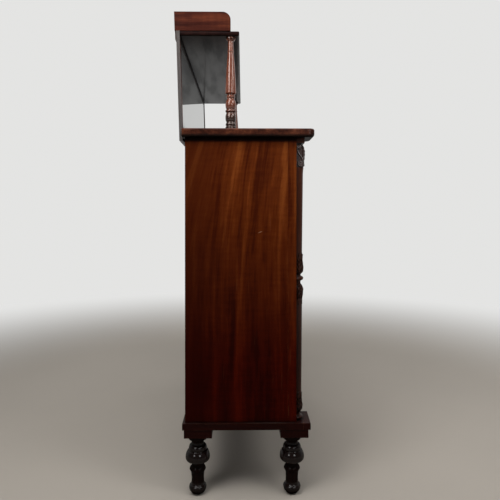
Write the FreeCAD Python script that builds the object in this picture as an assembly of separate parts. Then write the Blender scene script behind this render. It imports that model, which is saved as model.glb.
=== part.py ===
import FreeCAD, Part
import math
import os

from FreeCAD import Vector

# A mahogany chiffonier of about 1840-1860, in millimetres. +Z is up, the front faces -Y and the
# right-hand end is +X. Each sub-part is modelled with Y = 0 on the back edge of the carcass sides
# and is moved on export, so that the origin lies on the floor under the middle of the whole piece.

# ---------------------------------------------------------------- feet and plinth
FOOT_HEIGHT = 190.0
FOOT_SPIGOT_RADIUS = 13.0
FOOT_SPIGOT_LENGTH = 20.0
FOOT_SET_BACK = 4.0
BLOCK_SIDE = 86.0
BLOCK_THICKNESS = 26.0
BLOCK_END_INSET = 3.0
BLOCK_FRONT_INSET = 6.5
BLOCK_BACK_INSET = 5.0
PLINTH_THICKNESS = 20.0
PLINTH_END_OVERHANG = 10.0
PLINTH_BACK_OVERHANG = 8.0
PLINTH_FRONT_OVERHANG = 21.0
PLINTH_END_PIECE_DEPTH = 22.0
PLINTH_END_PIECE_WIDTH = 92.0

# ---------------------------------------------------------------- carcass
CASE_WIDTH = 1026.0
CASE_DEPTH = 343.5
CASE_HEIGHT = 878.0
SIDE_THICKNESS = 18.0
STILE_WIDTH = 60.0
STILE_THICKNESS = 26.0
BOTTOM_THICKNESS = 20.0
FRIEZE_HEIGHT = 92.0
DRAWER_RAIL_HEIGHT = 18.0
RAIL_DEPTH = 60.0
FRONT_RECESS = 8.0
BACK_BOARD_THICKNESS = 8.0
BACK_BOARD_LAP = 8.0
BACK_BOARD_COUNT = 7
BACK_BOARD_GAP = 0.6
TOP_RAIL_HEIGHT = 18.0
CUPBOARD_SHELF_THICKNESS = 16.0
CUPBOARD_SHELF_HEIGHT = 380.0
CUPBOARD_SHELF_SETBACK = 28.0
CUPBOARD_SHELF_END_GAP = 1.0
BEARER_SIDE = 16.0
BEARER_END_GAP = 6.0

# ---------------------------------------------------------------- half columns and corbels
COLUMN_BASE_HEIGHT = 93.0
COLUMN_RING_HEIGHT = 441.5
SHAFT_FOOT_RADIUS = 18.8
SHAFT_WAIST_RADIUS = 20.8
SHAFT_HEAD_RADIUS = 23.4
HEAD_FLARE_RADIUS = 25.3
HEAD_FLARE_HEIGHT = 25.0
CORBEL_FOOT_RISE = 2.0
CORBEL_HEIGHT = 74.0
CORBEL_WIDTH = 50.0
CORBEL_FOOT_DEPTH = 27.5
CORBEL_SHIN_DEPTH = 28.0
CORBEL_BELLY_DEPTH = 29.0
CORBEL_HEAD_DEPTH = 18.5
CORBEL_SHIN_SHARE = 0.27
CORBEL_BELLY_SHARE = 0.66
CORBEL_BLOCK_WIDTH = 56.0
CORBEL_BLOCK_DEPTH = 25.5

# ---------------------------------------------------------------- top board
TOP_THICKNESS = 26.5
TOP_END_OVERHANG = 20.0
TOP_BACK_OVERHANG = 8.0
TOP_FRONT_OVERHANG = 55.0
TOP_STEP = 14.0
TOP_STEP_RADIUS = 18.0
TOP_CORNER_RADIUS = 18.0
TOP_END_SECTION = 98.0
TOP_NOSE_RADIUS = 5.5
TOP_UNDER_RADIUS = 10.0

# ---------------------------------------------------------------- superstructure
SHELF_RISE = 291.5
SHELF_END_SETBACK = 13.0
SHELF_THICKNESS = 15.0
SHELF_FRONT_SETBACK = 176.5
SHELF_EDGE_RADIUS = 6.0
GALLERY_HEIGHT = 59.0
GALLERY_SIDE_THICKNESS = 11.0
GALLERY_SIDE_SETBACK = 27.0
GALLERY_CORNER_RADIUS = 25.0
GALLERY_BACK_THICKNESS = 8.5
GALLERY_LIP_THICKNESS = 4.5
GALLERY_LIP_LENGTH = 24.0
POST_SETBACK = 27.0
POST_END_INSET = 22.0
POST_SPIGOT_RADIUS = 6.0
POST_SPIGOT_LENGTH = 10.0
FRAME_LEAN = 1.7
FRAME_THICKNESS = 11.0
FRAME_STILE_WIDTH = 20.0
FRAME_DROP = 8.0
FRAME_BOTTOM_REVEAL = 10.0
FRAME_TOP_REVEAL = 8.0
FRAME_LIP = 2.0
FRAME_REBATE = 5.0
MIRROR_THICKNESS = 3.0
MIRROR_BACKING_THICKNESS = 4.0

# ---------------------------------------------------------------- doors
DOOR_THICKNESS = 20.0
DOOR_GAP = 1.5
DOOR_STILE_WIDTH = 62.0
DOOR_TOP_RAIL_WIDTH = 62.0
DOOR_BOTTOM_RAIL_WIDTH = 76.0
DOOR_TENON_LENGTH = 28.0
DOOR_TENON_THICKNESS = 7.0
DOOR_TENON_SHOULDER = 10.0
DOOR_PANEL_THICKNESS = 7.0
DOOR_PANEL_TONGUE = 8.0
DOOR_PANEL_PLAY = 0.5
MOULDING_WIDTH = 15.0
MOULDING_PROUD = 2.5
MOULDING_EDGE = 3.0
MOULDING_CROWN_SHARE = 0.35
MOULDING_BELLY_SHARE = 0.14
BEAD_WIDTH = 8.0
BEAD_PROUD = 3.0
BEAD_ROUNDING_SHARE = 0.9

# ---------------------------------------------------------------- hinges
HINGE_LENGTH = 56.0
HINGE_FROM_DOOR_END = 70.0
HINGE_LEAF_WIDTH = 19.0
HINGE_LEAF_THICKNESS = 1.6
HINGE_KNUCKLE_RADIUS = 3.0
HINGE_PIN_RADIUS = 1.5
HINGE_PIN_FIT = 0.05
HINGE_PLAY = 0.3
HINGE_PIN_FORWARD = 3.2

# ---------------------------------------------------------------- lock, key and door bolt
LOCK_HEIGHT = 410.0
LOCK_CASE_WIDTH = 42.0
LOCK_CASE_HEIGHT = 62.0
LOCK_CASE_DEPTH = 12.0
LOCK_WALL = 1.5
KEY_FROM_EDGE = 24.0
KEY_SHANK_RADIUS = 2.5
KEY_SHANK_FIT = 0.06
KEY_BIT_RADIUS = 9.0
KEY_BIT_THICKNESS = 2.0
KEY_BIT_WIDTH = 5.0
KEY_STAND_OUT = 18.0
KEY_BOW_RADIUS = 9.0
KEY_BOW_WALL = 3.2
KEY_COLLAR_RADIUS = 3.8
KEY_COLLAR_LENGTH = 2.5
LOCK_BOLT_HEIGHT = 10.0
LOCK_BOLT_THICKNESS = 6.0
LOCK_BOLT_LENGTH = 34.0
LOCK_BOLT_PLAY = 0.3
LOCK_THROW = 8.0
ESCUTCHEON_WIDTH = 18.0
ESCUTCHEON_HEIGHT = 34.0
ESCUTCHEON_THICKNESS = 1.2
ESCUTCHEON_CORNER_SHARE = 0.48
DOOR_BOLT_FROM_EDGE = 30.0
DOOR_BOLT_WIDTH = 6.0
DOOR_BOLT_DEPTH = 5.0
DOOR_BOLT_LENGTH = 64.0
DOOR_BOLT_BELOW_TOP = 3.0
DOOR_BOLT_THROW = 12.0
DOOR_BOLT_PLAY = 0.3
DOOR_BOLT_PLATE_WIDTH = 20.0
DOOR_BOLT_PLATE_HEIGHT = 66.0
DOOR_BOLT_PLATE_THICKNESS = 1.2
DOOR_BOLT_STAPLE_HEIGHT = 8.0
DOOR_BOLT_STAPLE_MARGIN = 2.0
DOOR_BOLT_STAPLE_WALL = 1.5
DOOR_BOLT_KNOB_RADIUS = 3.0
DOOR_BOLT_KNOB_LENGTH = 7.0

# ---------------------------------------------------------------- drawer
DRAWER_DEPTH = 300.0
DRAWER_FRONT_THICKNESS = 20.0
DRAWER_FRONT_OVERHANG = 9.0
DRAWER_CUSHION = 5.0
DRAWER_GAP = 1.5
DRAWER_SIDE_THICKNESS = 10.0
DRAWER_SIDE_LAP = 12.0
DRAWER_SIDE_HEIGHT = 69.0
DRAWER_BACK_THICKNESS = 10.0
DRAWER_BACK_DROP = 6.0
DRAWER_BOTTOM_THICKNESS = 6.0
DRAWER_BOTTOM_RISE = 10.0
DRAWER_GROOVE = 5.0
DRAWER_RUN_GAP = 0.3
DRAWER_PULL_RADIUS = 3.5
RUNNER_WIDTH = 55.0
GUIDE_HEIGHT = 18.0
STOP_WIDTH = 40.0
STOP_DEPTH = 14.0
STOP_HEIGHT = 7.5
STOP_X = 220.0

# ---------------------------------------------------------------- screws
SCREW_RADIUS = 2.0
SCREW_HEAD_RADIUS = 4.0
SCREW_HEAD_DEPTH = 2.4
SCREW_BITE = 12.0
SCREW_FIT = 0.05
TOP_SCREW_X = 320.0
FRAME_SCREW_X = 380.0

# Two edges this close count as one, and a cut runs this far past the face that it opens.
NEAR = 0.01
PAST = 1.0

# ---------------------------------------------------------------- levels worked out from the sizes
PLINTH_Z = FOOT_HEIGHT + BLOCK_THICKNESS
CASE_Z = PLINTH_Z + PLINTH_THICKNESS
TOP_Z = CASE_Z + CASE_HEIGHT
TOP_SURFACE_Z = TOP_Z + TOP_THICKNESS
SHELF_Z = TOP_SURFACE_Z + SHELF_RISE
GALLERY_Z = SHELF_Z + SHELF_THICKNESS
CREST_Z = GALLERY_Z + GALLERY_HEIGHT
DRAWER_OPENING_Z = TOP_Z - FRIEZE_HEIGHT
DRAWER_RAIL_Z = DRAWER_OPENING_Z - DRAWER_RAIL_HEIGHT
DOOR_Z = CASE_Z + BOTTOM_THICKNESS + DOOR_GAP
DOOR_TOP_Z = DRAWER_RAIL_Z - DOOR_GAP
CORBEL_Z = DRAWER_OPENING_Z + CORBEL_FOOT_RISE
CORBEL_BLOCK_Z = CORBEL_Z + CORBEL_HEIGHT

CASE_HALF = CASE_WIDTH / 2
SIDE_INNER = CASE_HALF - SIDE_THICKNESS
OPENING_HALF = CASE_HALF - STILE_WIDTH
COLUMN_X = CASE_HALF - STILE_WIDTH / 2
PLINTH_HALF = CASE_HALF + PLINTH_END_OVERHANG
TOP_HALF = CASE_HALF + TOP_END_OVERHANG
SHELF_HALF = CASE_HALF - SHELF_END_SETBACK
POST_X = SHELF_HALF - POST_END_INSET

STILE_FRONT = -CASE_DEPTH
STILE_BACK = STILE_FRONT + STILE_THICKNESS
FACE_Y = STILE_FRONT + FRONT_RECESS
BOARDS_FRONT = -BACK_BOARD_THICKNESS
PLINTH_FRONT = STILE_FRONT - PLINTH_FRONT_OVERHANG
PLINTH_NOSE = PLINTH_FRONT - PLINTH_END_PIECE_DEPTH
TOP_NOSE = STILE_FRONT - TOP_FRONT_OVERHANG
SHELF_FRONT = STILE_FRONT + SHELF_FRONT_SETBACK
DOOR_BACK = FACE_Y + DOOR_THICKNESS
DOOR_EDGE = OPENING_HALF - DOOR_GAP
MEETING_EDGE = DOOR_GAP / 2
PIN_X = OPENING_HALF - DOOR_GAP / 2
PIN_Y = FACE_Y - HINGE_PIN_FORWARD
LOCK_Z = CASE_Z + LOCK_HEIGHT
KEY_X = MEETING_EDGE + KEY_FROM_EDGE
LOCK_BOLT_Z = LOCK_Z + KEY_BIT_RADIUS + LOCK_BOLT_PLAY
LOCK_BOLT_Y = DOOR_BACK - LOCK_CASE_DEPTH / 2 - LOCK_BOLT_THICKNESS / 2
DOOR_BOLT_X = -(MEETING_EDGE + DOOR_BOLT_FROM_EDGE)
DOOR_BOLT_TOP = DOOR_TOP_Z - DOOR_BOLT_BELOW_TOP
DOOR_BOLT_Y = DOOR_BACK + DOOR_BOLT_PLATE_THICKNESS + DOOR_BOLT_PLAY


def lean_y(offset, z):
    """Y of the plane that lies behind the mirror frame's sloping face by the offset, at height z."""
    slope = math.radians(FRAME_LEAN)
    return TOP_BACK + offset / math.cos(slope) + (z - TOP_Z) * math.tan(slope)


TOP_BACK = TOP_BACK_OVERHANG
SHELF_BACK = lean_y(0, SHELF_Z)
GALLERY_BACK_OFFSET = FRAME_THICKNESS + GALLERY_LIP_THICKNESS
MIDDLE_Y = (TOP_NOSE + lean_y(GALLERY_BACK_OFFSET, CREST_Z)) / 2


# ---------------------------------------------------------------- shape helpers
def save(name, *solids):
    """Write the solids of one sub-part, with the origin under the middle of the whole piece."""
    shape = Part.makeCompound(list(solids))
    shape.translate(Vector(0, -MIDDLE_Y, 0))
    shape.exportStep(os.path.join("parts", name + ".step"))


def box(x0, x1, y0, y1, z0, z1):
    return Part.makeBox(x1 - x0, y1 - y0, z1 - z0, Vector(x0, y0, z0))


def rod(start, direction, radius, length):
    return Part.makeCylinder(radius, length, start, direction)


def mirrored(shape):
    return shape.mirror(Vector(0, 0, 0), Vector(1, 0, 0))


def save_pair(name, right_shape):
    """Write the right-hand shape and its mirror image as two sub-parts."""
    save(name + "_right", right_shape)
    save(name + "_left", mirrored(right_shape))


def line(start, end):
    return Part.LineSegment(start, end).toShape()


def arc(centre, radius, start_degrees, end_degrees):
    """Arc in a horizontal plane, counted from +X towards +Y."""
    circle = Part.Circle(centre, Vector(0, 0, 1), radius)
    return Part.ArcOfCircle(circle, math.radians(start_degrees), math.radians(end_degrees)).toShape()


def prism_yz(outline, x0, x1):
    """Solid between two X planes from an outline of (y, z) corners."""
    corners = [Vector(x0, y, z) for y, z in outline]
    wire = Part.makePolygon(corners + corners[:1])
    return Part.Face(wire).extrude(Vector(x1 - x0, 0, 0))


def turning(x, y, start_z, start_radius, steps):
    """Turned solid on a vertical axis. Each step is its rise, its end radius and its bulge."""
    z = start_z
    radius = start_radius
    edges = [line(Vector(0, 0, z), Vector(radius, 0, z))]
    for rise, next_radius, bulge in steps:
        start = Vector(radius, 0, z)
        end = Vector(next_radius, 0, z + rise)
        if bulge:
            chord = end - start
            outward = Vector(chord.z, 0, -chord.x).normalize()
            edges.append(Part.Arc(start, (start + end) * 0.5 + outward * bulge, end).toShape())
        else:
            edges.append(line(start, end))
        z = z + rise
        radius = next_radius
    edges.append(line(Vector(radius, 0, z), Vector(0, 0, z)))
    edges.append(line(Vector(0, 0, z), Vector(0, 0, start_z)))
    solid = Part.Face(Part.Wire(edges)).revolve(Vector(0, 0, 0), Vector(0, 0, 1), 360)
    solid.translate(Vector(x, y, 0))
    return solid


def rise_of(steps):
    return sum(step[0] for step in steps)


# ---------------------------------------------------------------- feet and plinth
def foot_steps():
    """Turned foot from the floor up; the plain ankle takes up what the height leaves."""
    toe = [(2.5, 14.5, 0.6), (16.0, 26.8, 3.0), (10.5, 23.4, 2.0), (4.0, 20.0, -0.6)]
    collar = [(15.0, 25.0, -1.2), (3.5, 25.2, 0.5), (8.0, 19.5, 1.0), (13.0, 18.6, -0.6)]
    vase = [(2.5, 25.0, 0.3), (8.0, 38.0, 2.8), (24.5, 31.8, 2.6), (2.5, 27.4, -0.5)]
    bead = [(9.0, 28.0, 0.8), (9.0, 20.0, 1.8), (10.5, 18.6, -0.5)]
    head = [(5.0, 26.0, -1.2), (3.5, 29.6, 0.6), (13.0, 30.2, 0.6), (2.0, 28.6, 0.4)]
    fixed = toe + collar + vase + bead + head
    ankle = (FOOT_HEIGHT - rise_of(fixed), 19.8, -0.5)
    return toe + [ankle] + collar + vase + bead + head


def foot_centres():
    """The four feet by name, with their X and Y; each stands a little behind its block's middle."""
    front_y = PLINTH_NOSE + BLOCK_FRONT_INSET + BLOCK_SIDE / 2 + FOOT_SET_BACK
    back_y = PLINTH_BACK_OVERHANG - BLOCK_BACK_INSET - BLOCK_SIDE / 2 + FOOT_SET_BACK
    x = PLINTH_HALF - BLOCK_END_INSET - BLOCK_SIDE / 2
    return {
        "front_left": (-x, front_y),
        "front_right": (x, front_y),
        "back_left": (-x, back_y),
        "back_right": (x, back_y),
    }


def make_feet():
    half = BLOCK_SIDE / 2
    up = Vector(0, 0, 1)
    blocks = []
    for name, (x, y) in foot_centres().items():
        spigot = rod(Vector(x, y, FOOT_HEIGHT), up, FOOT_SPIGOT_RADIUS, FOOT_SPIGOT_LENGTH)
        save("foot_" + name, turning(x, y, 0, 11.0, foot_steps()).fuse(spigot).removeSplitter())
        middle_y = y - FOOT_SET_BACK
        block = box(x - half, x + half, middle_y - half, middle_y + half, FOOT_HEIGHT, PLINTH_Z)
        socket_radius = FOOT_SPIGOT_RADIUS + SCREW_FIT
        socket = rod(Vector(x, y, FOOT_HEIGHT), up, socket_radius, FOOT_SPIGOT_LENGTH + PAST)
        blocks.append(block.cut(socket))
    save("foot_blocks", *blocks)


def make_plinth():
    back = PLINTH_BACK_OVERHANG
    save("plinth_board", box(-PLINTH_HALF, PLINTH_HALF, PLINTH_FRONT, back, PLINTH_Z, CASE_Z))
    inner = PLINTH_HALF - PLINTH_END_PIECE_WIDTH
    end = box(inner, PLINTH_HALF, PLINTH_NOSE, PLINTH_FRONT, PLINTH_Z, CASE_Z)
    save("plinth_end_pieces", end, mirrored(end))


# ---------------------------------------------------------------- carcass
def make_sides():
    side = box(SIDE_INNER, CASE_HALF, STILE_BACK, 0, CASE_Z, TOP_Z)
    rebate = box(SIDE_INNER, SIDE_INNER + BACK_BOARD_LAP, BOARDS_FRONT, 0, CASE_Z, TOP_Z)
    save_pair("side_panel", side.cut(rebate))


def make_stiles():
    stile = box(OPENING_HALF, CASE_HALF, STILE_FRONT, STILE_BACK, CASE_Z, TOP_Z)
    for z in hinge_heights():
        stile = stile.cut(hinge_bed_in_stile(z))
    save_pair("stile", stile)


def make_back_boards():
    half = SIDE_INNER + BACK_BOARD_LAP
    pitch = (2 * half + BACK_BOARD_GAP) / BACK_BOARD_COUNT
    boards = []
    for number in range(BACK_BOARD_COUNT):
        x = -half + number * pitch
        boards.append(box(x, x + pitch - BACK_BOARD_GAP, BOARDS_FRONT, 0, CASE_Z, TOP_Z))
    save("back_boards", *boards)


def make_case_boards():
    z = CASE_Z + BOTTOM_THICKNESS
    bottom = box(-SIDE_INNER, SIDE_INNER, STILE_BACK, BOARDS_FRONT, CASE_Z, z)
    nose = box(-OPENING_HALF, OPENING_HALF, FACE_Y, STILE_BACK, CASE_Z, z)
    save("bottom_board", bottom.fuse(nose).removeSplitter())

    shelf_z = CASE_Z + CUPBOARD_SHELF_HEIGHT
    front = DOOR_BACK + CUPBOARD_SHELF_SETBACK
    half = SIDE_INNER - CUPBOARD_SHELF_END_GAP
    top = shelf_z + CUPBOARD_SHELF_THICKNESS
    back = BOARDS_FRONT - CUPBOARD_SHELF_END_GAP
    save("cupboard_shelf", box(-half, half, front, back, shelf_z, top))
    gap = BEARER_END_GAP
    bearer_z = shelf_z - BEARER_SIDE
    bearer = box(SIDE_INNER - BEARER_SIDE, SIDE_INNER, front + gap, back - gap, bearer_z, shelf_z)
    save("shelf_bearers", bearer, mirrored(bearer))


def make_drawer_rail():
    rail = box(-OPENING_HALF, OPENING_HALF, FACE_Y, FACE_Y + RAIL_DEPTH, DRAWER_RAIL_Z, DRAWER_OPENING_Z)
    play = DOOR_BOLT_PLAY
    x = DOOR_BOLT_X
    half = DOOR_BOLT_WIDTH / 2 + play
    socket_top = DOOR_BOLT_TOP + DOOR_BOLT_THROW + play
    back = DOOR_BOLT_Y + DOOR_BOLT_DEPTH + play
    socket = box(x - half, x + half, DOOR_BOLT_Y - play, back, DRAWER_RAIL_Z, socket_top)
    save("drawer_rail", rail.cut(socket))


def top_screw_places():
    front_y = DOOR_BACK + DRAWER_GAP + RAIL_DEPTH / 2
    back_y = BOARDS_FRONT - RAIL_DEPTH / 2
    return [(x, y) for y in (front_y, back_y) for x in (-TOP_SCREW_X, 0, TOP_SCREW_X)]


def screw(start, direction, length, radius_growth=0.0):
    """Countersunk wood screw with its head's face at the start."""
    head = Part.makeCone(SCREW_HEAD_RADIUS + radius_growth, SCREW_RADIUS + radius_growth,
                         SCREW_HEAD_DEPTH, start, direction)
    return head.fuse(rod(start, direction, SCREW_RADIUS + radius_growth, length)).removeSplitter()


def top_screw(place, growth=0.0):
    start = Vector(place[0], place[1], TOP_Z - TOP_RAIL_HEIGHT)
    return screw(start, Vector(0, 0, 1), TOP_RAIL_HEIGHT + SCREW_BITE + growth, growth)


def make_top_rails():
    z = TOP_Z - TOP_RAIL_HEIGHT
    front = DOOR_BACK + DRAWER_GAP
    rails = [
        box(-SIDE_INNER, SIDE_INNER, front, front + RAIL_DEPTH, z, TOP_Z),
        box(-SIDE_INNER, SIDE_INNER, BOARDS_FRONT - RAIL_DEPTH, BOARDS_FRONT, z, TOP_Z),
    ]
    for place in top_screw_places():
        rails = [rail.cut(top_screw(place, SCREW_FIT)) for rail in rails]
    save("top_rails", *rails)


def make_runners():
    inner = SIDE_INNER - RUNNER_WIDTH
    front = FACE_Y + RAIL_DEPTH
    runner = box(inner, SIDE_INNER, front, BOARDS_FRONT, DRAWER_RAIL_Z, DRAWER_OPENING_Z)
    save("drawer_runners", runner, mirrored(runner))
    guide_top = DRAWER_OPENING_Z + GUIDE_HEIGHT
    guide = box(OPENING_HALF, SIDE_INNER, front, BOARDS_FRONT, DRAWER_OPENING_Z, guide_top)
    kicker_front = DOOR_BACK + DRAWER_GAP + RAIL_DEPTH
    kicker_back = BOARDS_FRONT - RAIL_DEPTH
    kicker = box(inner, SIDE_INNER, kicker_front, kicker_back, TOP_Z - TOP_RAIL_HEIGHT, TOP_Z)
    save("drawer_guides", guide, mirrored(guide), kicker, mirrored(kicker))
    stop_front = FACE_Y + DRAWER_FRONT_THICKNESS + DRAWER_RUN_GAP
    stop = box(STOP_X, STOP_X + STOP_WIDTH, stop_front, stop_front + STOP_DEPTH,
               DRAWER_OPENING_Z, DRAWER_OPENING_Z + STOP_HEIGHT)
    save("drawer_stops", stop, mirrored(stop))


# ---------------------------------------------------------------- half columns and corbels
def column_base_steps():
    """Base ring, neck and lower leaf cup, from the plinth up to the plain shaft."""
    ring = [(2.0, 15.0, 0), (1.5, 20.0, 0), (8.0, 20.0, 2.4), (1.5, 15.5, 0)]
    neck = [(10.0, 15.0, -1.4)]
    cup = [(25.0, 22.4, 3.2), (24.0, 20.6, -0.6), (15.0, 21.4, -0.5)]
    fixed = ring + neck + cup
    return fixed + [(COLUMN_BASE_HEIGHT - rise_of(fixed), SHAFT_FOOT_RADIUS, 0)]


def column_steps():
    """Half column from the plinth to the corbel: two leaf cups meet about a turned ring at the waist."""
    base = column_base_steps()
    lower_cup = [(6.0, 22.6, 0.4), (18.0, 22.0, -0.5), (24.0, 24.6, 0.8), (19.0, 17.0, 3.0)]
    hollow = [(11.0, 16.6, -0.8)]
    ring = [(2.0, 21.5, 0), (11.0, 21.5, 3.2), (2.0, 16.8, 0)]
    upper_cup = [(6.0, 17.2, -0.5), (18.0, 25.3, 3.0), (12.0, 24.8, 0.5), (18.0, 23.0, -0.3)]
    crown = [(12.0, 24.4, -0.4), (3.0, 24.0, 0.5), (3.0, SHAFT_WAIST_RADIUS, 0)]
    middle = lower_cup + hollow + ring + upper_cup + crown
    lower_length = COLUMN_RING_HEIGHT - rise_of(lower_cup + hollow) - rise_of(ring) / 2 - COLUMN_BASE_HEIGHT
    below = COLUMN_BASE_HEIGHT + lower_length + rise_of(middle)
    lower_shaft = [(lower_length, SHAFT_WAIST_RADIUS, 0)]
    upper_shaft = [(CORBEL_Z - CASE_Z - HEAD_FLARE_HEIGHT - below, SHAFT_HEAD_RADIUS, 0)]
    flare = [(HEAD_FLARE_HEIGHT, HEAD_FLARE_RADIUS, -0.4)]
    return base + lower_shaft + middle + upper_shaft + flare


def make_half_columns():
    whole = turning(COLUMN_X, STILE_FRONT, CASE_Z, 15.0, column_steps())
    reach = STILE_WIDTH
    front_space = box(COLUMN_X - reach, COLUMN_X + reach, STILE_FRONT - reach, STILE_FRONT,
                      CASE_Z, CORBEL_Z)
    save_pair("half_column", whole.common(front_space))


def make_corbels():
    x = COLUMN_X - CORBEL_WIDTH / 2
    foot = Vector(x, STILE_FRONT - CORBEL_FOOT_DEPTH, CORBEL_Z)
    shin = Vector(x, STILE_FRONT - CORBEL_SHIN_DEPTH, CORBEL_Z + CORBEL_SHIN_SHARE * CORBEL_HEIGHT)
    belly = Vector(x, STILE_FRONT - CORBEL_BELLY_DEPTH, CORBEL_Z + CORBEL_BELLY_SHARE * CORBEL_HEIGHT)
    head = Vector(x, STILE_FRONT - CORBEL_HEAD_DEPTH, CORBEL_BLOCK_Z)
    curve = Part.BSplineCurve()
    curve.interpolate([foot, shin, belly, head])
    back_foot = Vector(x, STILE_FRONT, CORBEL_Z)
    back_head = Vector(x, STILE_FRONT, CORBEL_BLOCK_Z)
    edges = [line(back_foot, foot), curve.toShape(), line(head, back_head), line(back_head, back_foot)]
    save_pair("corbel", Part.Face(Part.Wire(edges)).extrude(Vector(CORBEL_WIDTH, 0, 0)))
    half = CORBEL_BLOCK_WIDTH / 2
    block = box(COLUMN_X - half, COLUMN_X + half, STILE_FRONT - CORBEL_BLOCK_DEPTH, STILE_FRONT,
                CORBEL_BLOCK_Z, TOP_Z)
    save("corbel_blocks", block, mirrored(block))


# ---------------------------------------------------------------- top board
def top_outline():
    """Outline of the top at its underside: the two ends stand forward of the middle in an easy step."""
    z = TOP_Z
    r = TOP_STEP_RADIUS
    turn = math.degrees(math.acos(1 - TOP_STEP / (2 * r)))
    run = 2 * r * math.sin(math.radians(turn))
    step_x = TOP_HALF - TOP_END_SECTION
    corner = TOP_CORNER_RADIUS
    front = TOP_NOSE
    middle = TOP_NOSE + TOP_STEP
    edges = [line(Vector(-step_x + run, middle, z), Vector(step_x - run, middle, z))]
    for hand in (1, -1):
        centre_in = Vector(hand * (step_x - run), middle - r, z)
        centre_out = Vector(hand * step_x, front + r, z)
        corner_centre = Vector(hand * (TOP_HALF - corner), front + corner, z)
        if hand > 0:
            edges.append(arc(centre_in, r, 90 - turn, 90))
            edges.append(arc(centre_out, r, 270 - turn, 270))
            edges.append(arc(corner_centre, corner, 270, 360))
        else:
            edges.append(arc(centre_in, r, 90, 90 + turn))
            edges.append(arc(centre_out, r, 270, 270 + turn))
            edges.append(arc(corner_centre, corner, 180, 270))
        edges.append(line(Vector(hand * step_x, front, z), Vector(hand * (TOP_HALF - corner), front, z)))
        edges.append(line(Vector(hand * TOP_HALF, front + corner, z), Vector(hand * TOP_HALF, TOP_BACK, z)))
    edges.append(line(Vector(-TOP_HALF, TOP_BACK, z), Vector(TOP_HALF, TOP_BACK, z)))
    return Part.Wire(Part.__sortEdges__(edges))


def make_top():
    board = Part.Face(top_outline()).extrude(Vector(0, 0, TOP_THICKNESS))
    for z, radius in ((TOP_SURFACE_Z, TOP_NOSE_RADIUS), (TOP_Z, TOP_UNDER_RADIUS)):
        rim = [edge for edge in board.Edges
               if abs(edge.BoundBox.ZMin - z) < NEAR and abs(edge.BoundBox.ZMax - z) < NEAR
               and edge.BoundBox.YMin < TOP_BACK - NEAR]
        board = board.makeFillet(radius, rim)
    for place in top_screw_places():
        board = board.cut(top_screw(place, SCREW_FIT))
    for hand in (1, -1):
        board = board.cut(post_spigot(hand, TOP_SURFACE_Z, -1, SCREW_FIT))
    for x in frame_screw_places():
        board = board.cut(frame_screw(x, SCREW_FIT))
    save("top_board", board)


# ---------------------------------------------------------------- superstructure
def post_steps():
    """Slim turned post from the top board up; the tapered shaft takes up what the rise leaves."""
    base = [(11.0, 16.7, 0), (4.0, 14.2, -0.8), (8.0, 14.2, 1.9), (3.0, 13.6, 0), (4.0, 15.2, -0.5)]
    lower_bulb = [(22.0, 15.2, 1.7), (5.0, 14.2, -0.7), (8.0, 14.2, 2.6), (3.0, 14.2, -0.6)]
    upper_bulb = [(28.0, 13.2, 3.0), (5.0, 11.8, -0.6), (9.0, 12.0, 1.6), (3.0, 12.0, 0), (4.0, 17.3, 0)]
    neck = [(5.0, 9.0, 1.5), (28.0, 8.5, 0), (3.0, 11.0, -0.5), (4.0, 11.0, 1.6)]
    cap = [(0.5, 15.0, 0), (4.5, 15.0, 0)]
    fixed = base + lower_bulb + upper_bulb + neck + cap
    shaft = (SHELF_RISE - rise_of(fixed), 9.1, 0.8)
    return base + lower_bulb + upper_bulb + [shaft] + neck + cap


def post_y():
    return SHELF_FRONT + POST_SETBACK


def post_spigot(hand, z, direction, growth=0.0):
    start = Vector(hand * POST_X, post_y(), z)
    return rod(start, Vector(0, 0, direction), POST_SPIGOT_RADIUS + growth, POST_SPIGOT_LENGTH + growth)


def make_screws():
    screws = [top_screw(place) for place in top_screw_places()]
    save("fixing_screws", *screws, *[frame_screw(x) for x in frame_screw_places()])


def make_posts():
    post = turning(POST_X, post_y(), TOP_SURFACE_Z, 16.7, post_steps())
    post = post.fuse(post_spigot(1, TOP_SURFACE_Z, -1)).fuse(post_spigot(1, SHELF_Z, 1))
    save_pair("post", post.removeSplitter())


def make_shelf():
    shelf = box(-SHELF_HALF, SHELF_HALF, SHELF_FRONT, SHELF_BACK, SHELF_Z, GALLERY_Z)
    rim = [edge for edge in shelf.Edges
           if edge.BoundBox.ZLength < NEAR and edge.BoundBox.YMin < SHELF_BACK - NEAR]
    shelf = shelf.makeFillet(SHELF_EDGE_RADIUS, rim)
    for hand in (1, -1):
        shelf = shelf.cut(post_spigot(hand, SHELF_Z, 1, SCREW_FIT))
    save("gallery_shelf", shelf)


def lean_band(near, far, z0, z1, x0, x1):
    """Sloping slab between two offsets behind the frame's face and two heights."""
    corners = ((near, z0), (far, z0), (far, z1), (near, z1))
    return prism_yz([(lean_y(offset, z), z) for offset, z in corners], x0, x1)


def frame_screw_places():
    return (-FRAME_SCREW_X, 0, FRAME_SCREW_X)


def frame_screw(x, growth=0.0):
    z = TOP_Z + TOP_THICKNESS / 2
    start = Vector(x, lean_y(FRAME_THICKNESS, z), z)
    return screw(start, Vector(0, -1, 0), FRAME_THICKNESS + SCREW_BITE + growth, growth)


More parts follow.
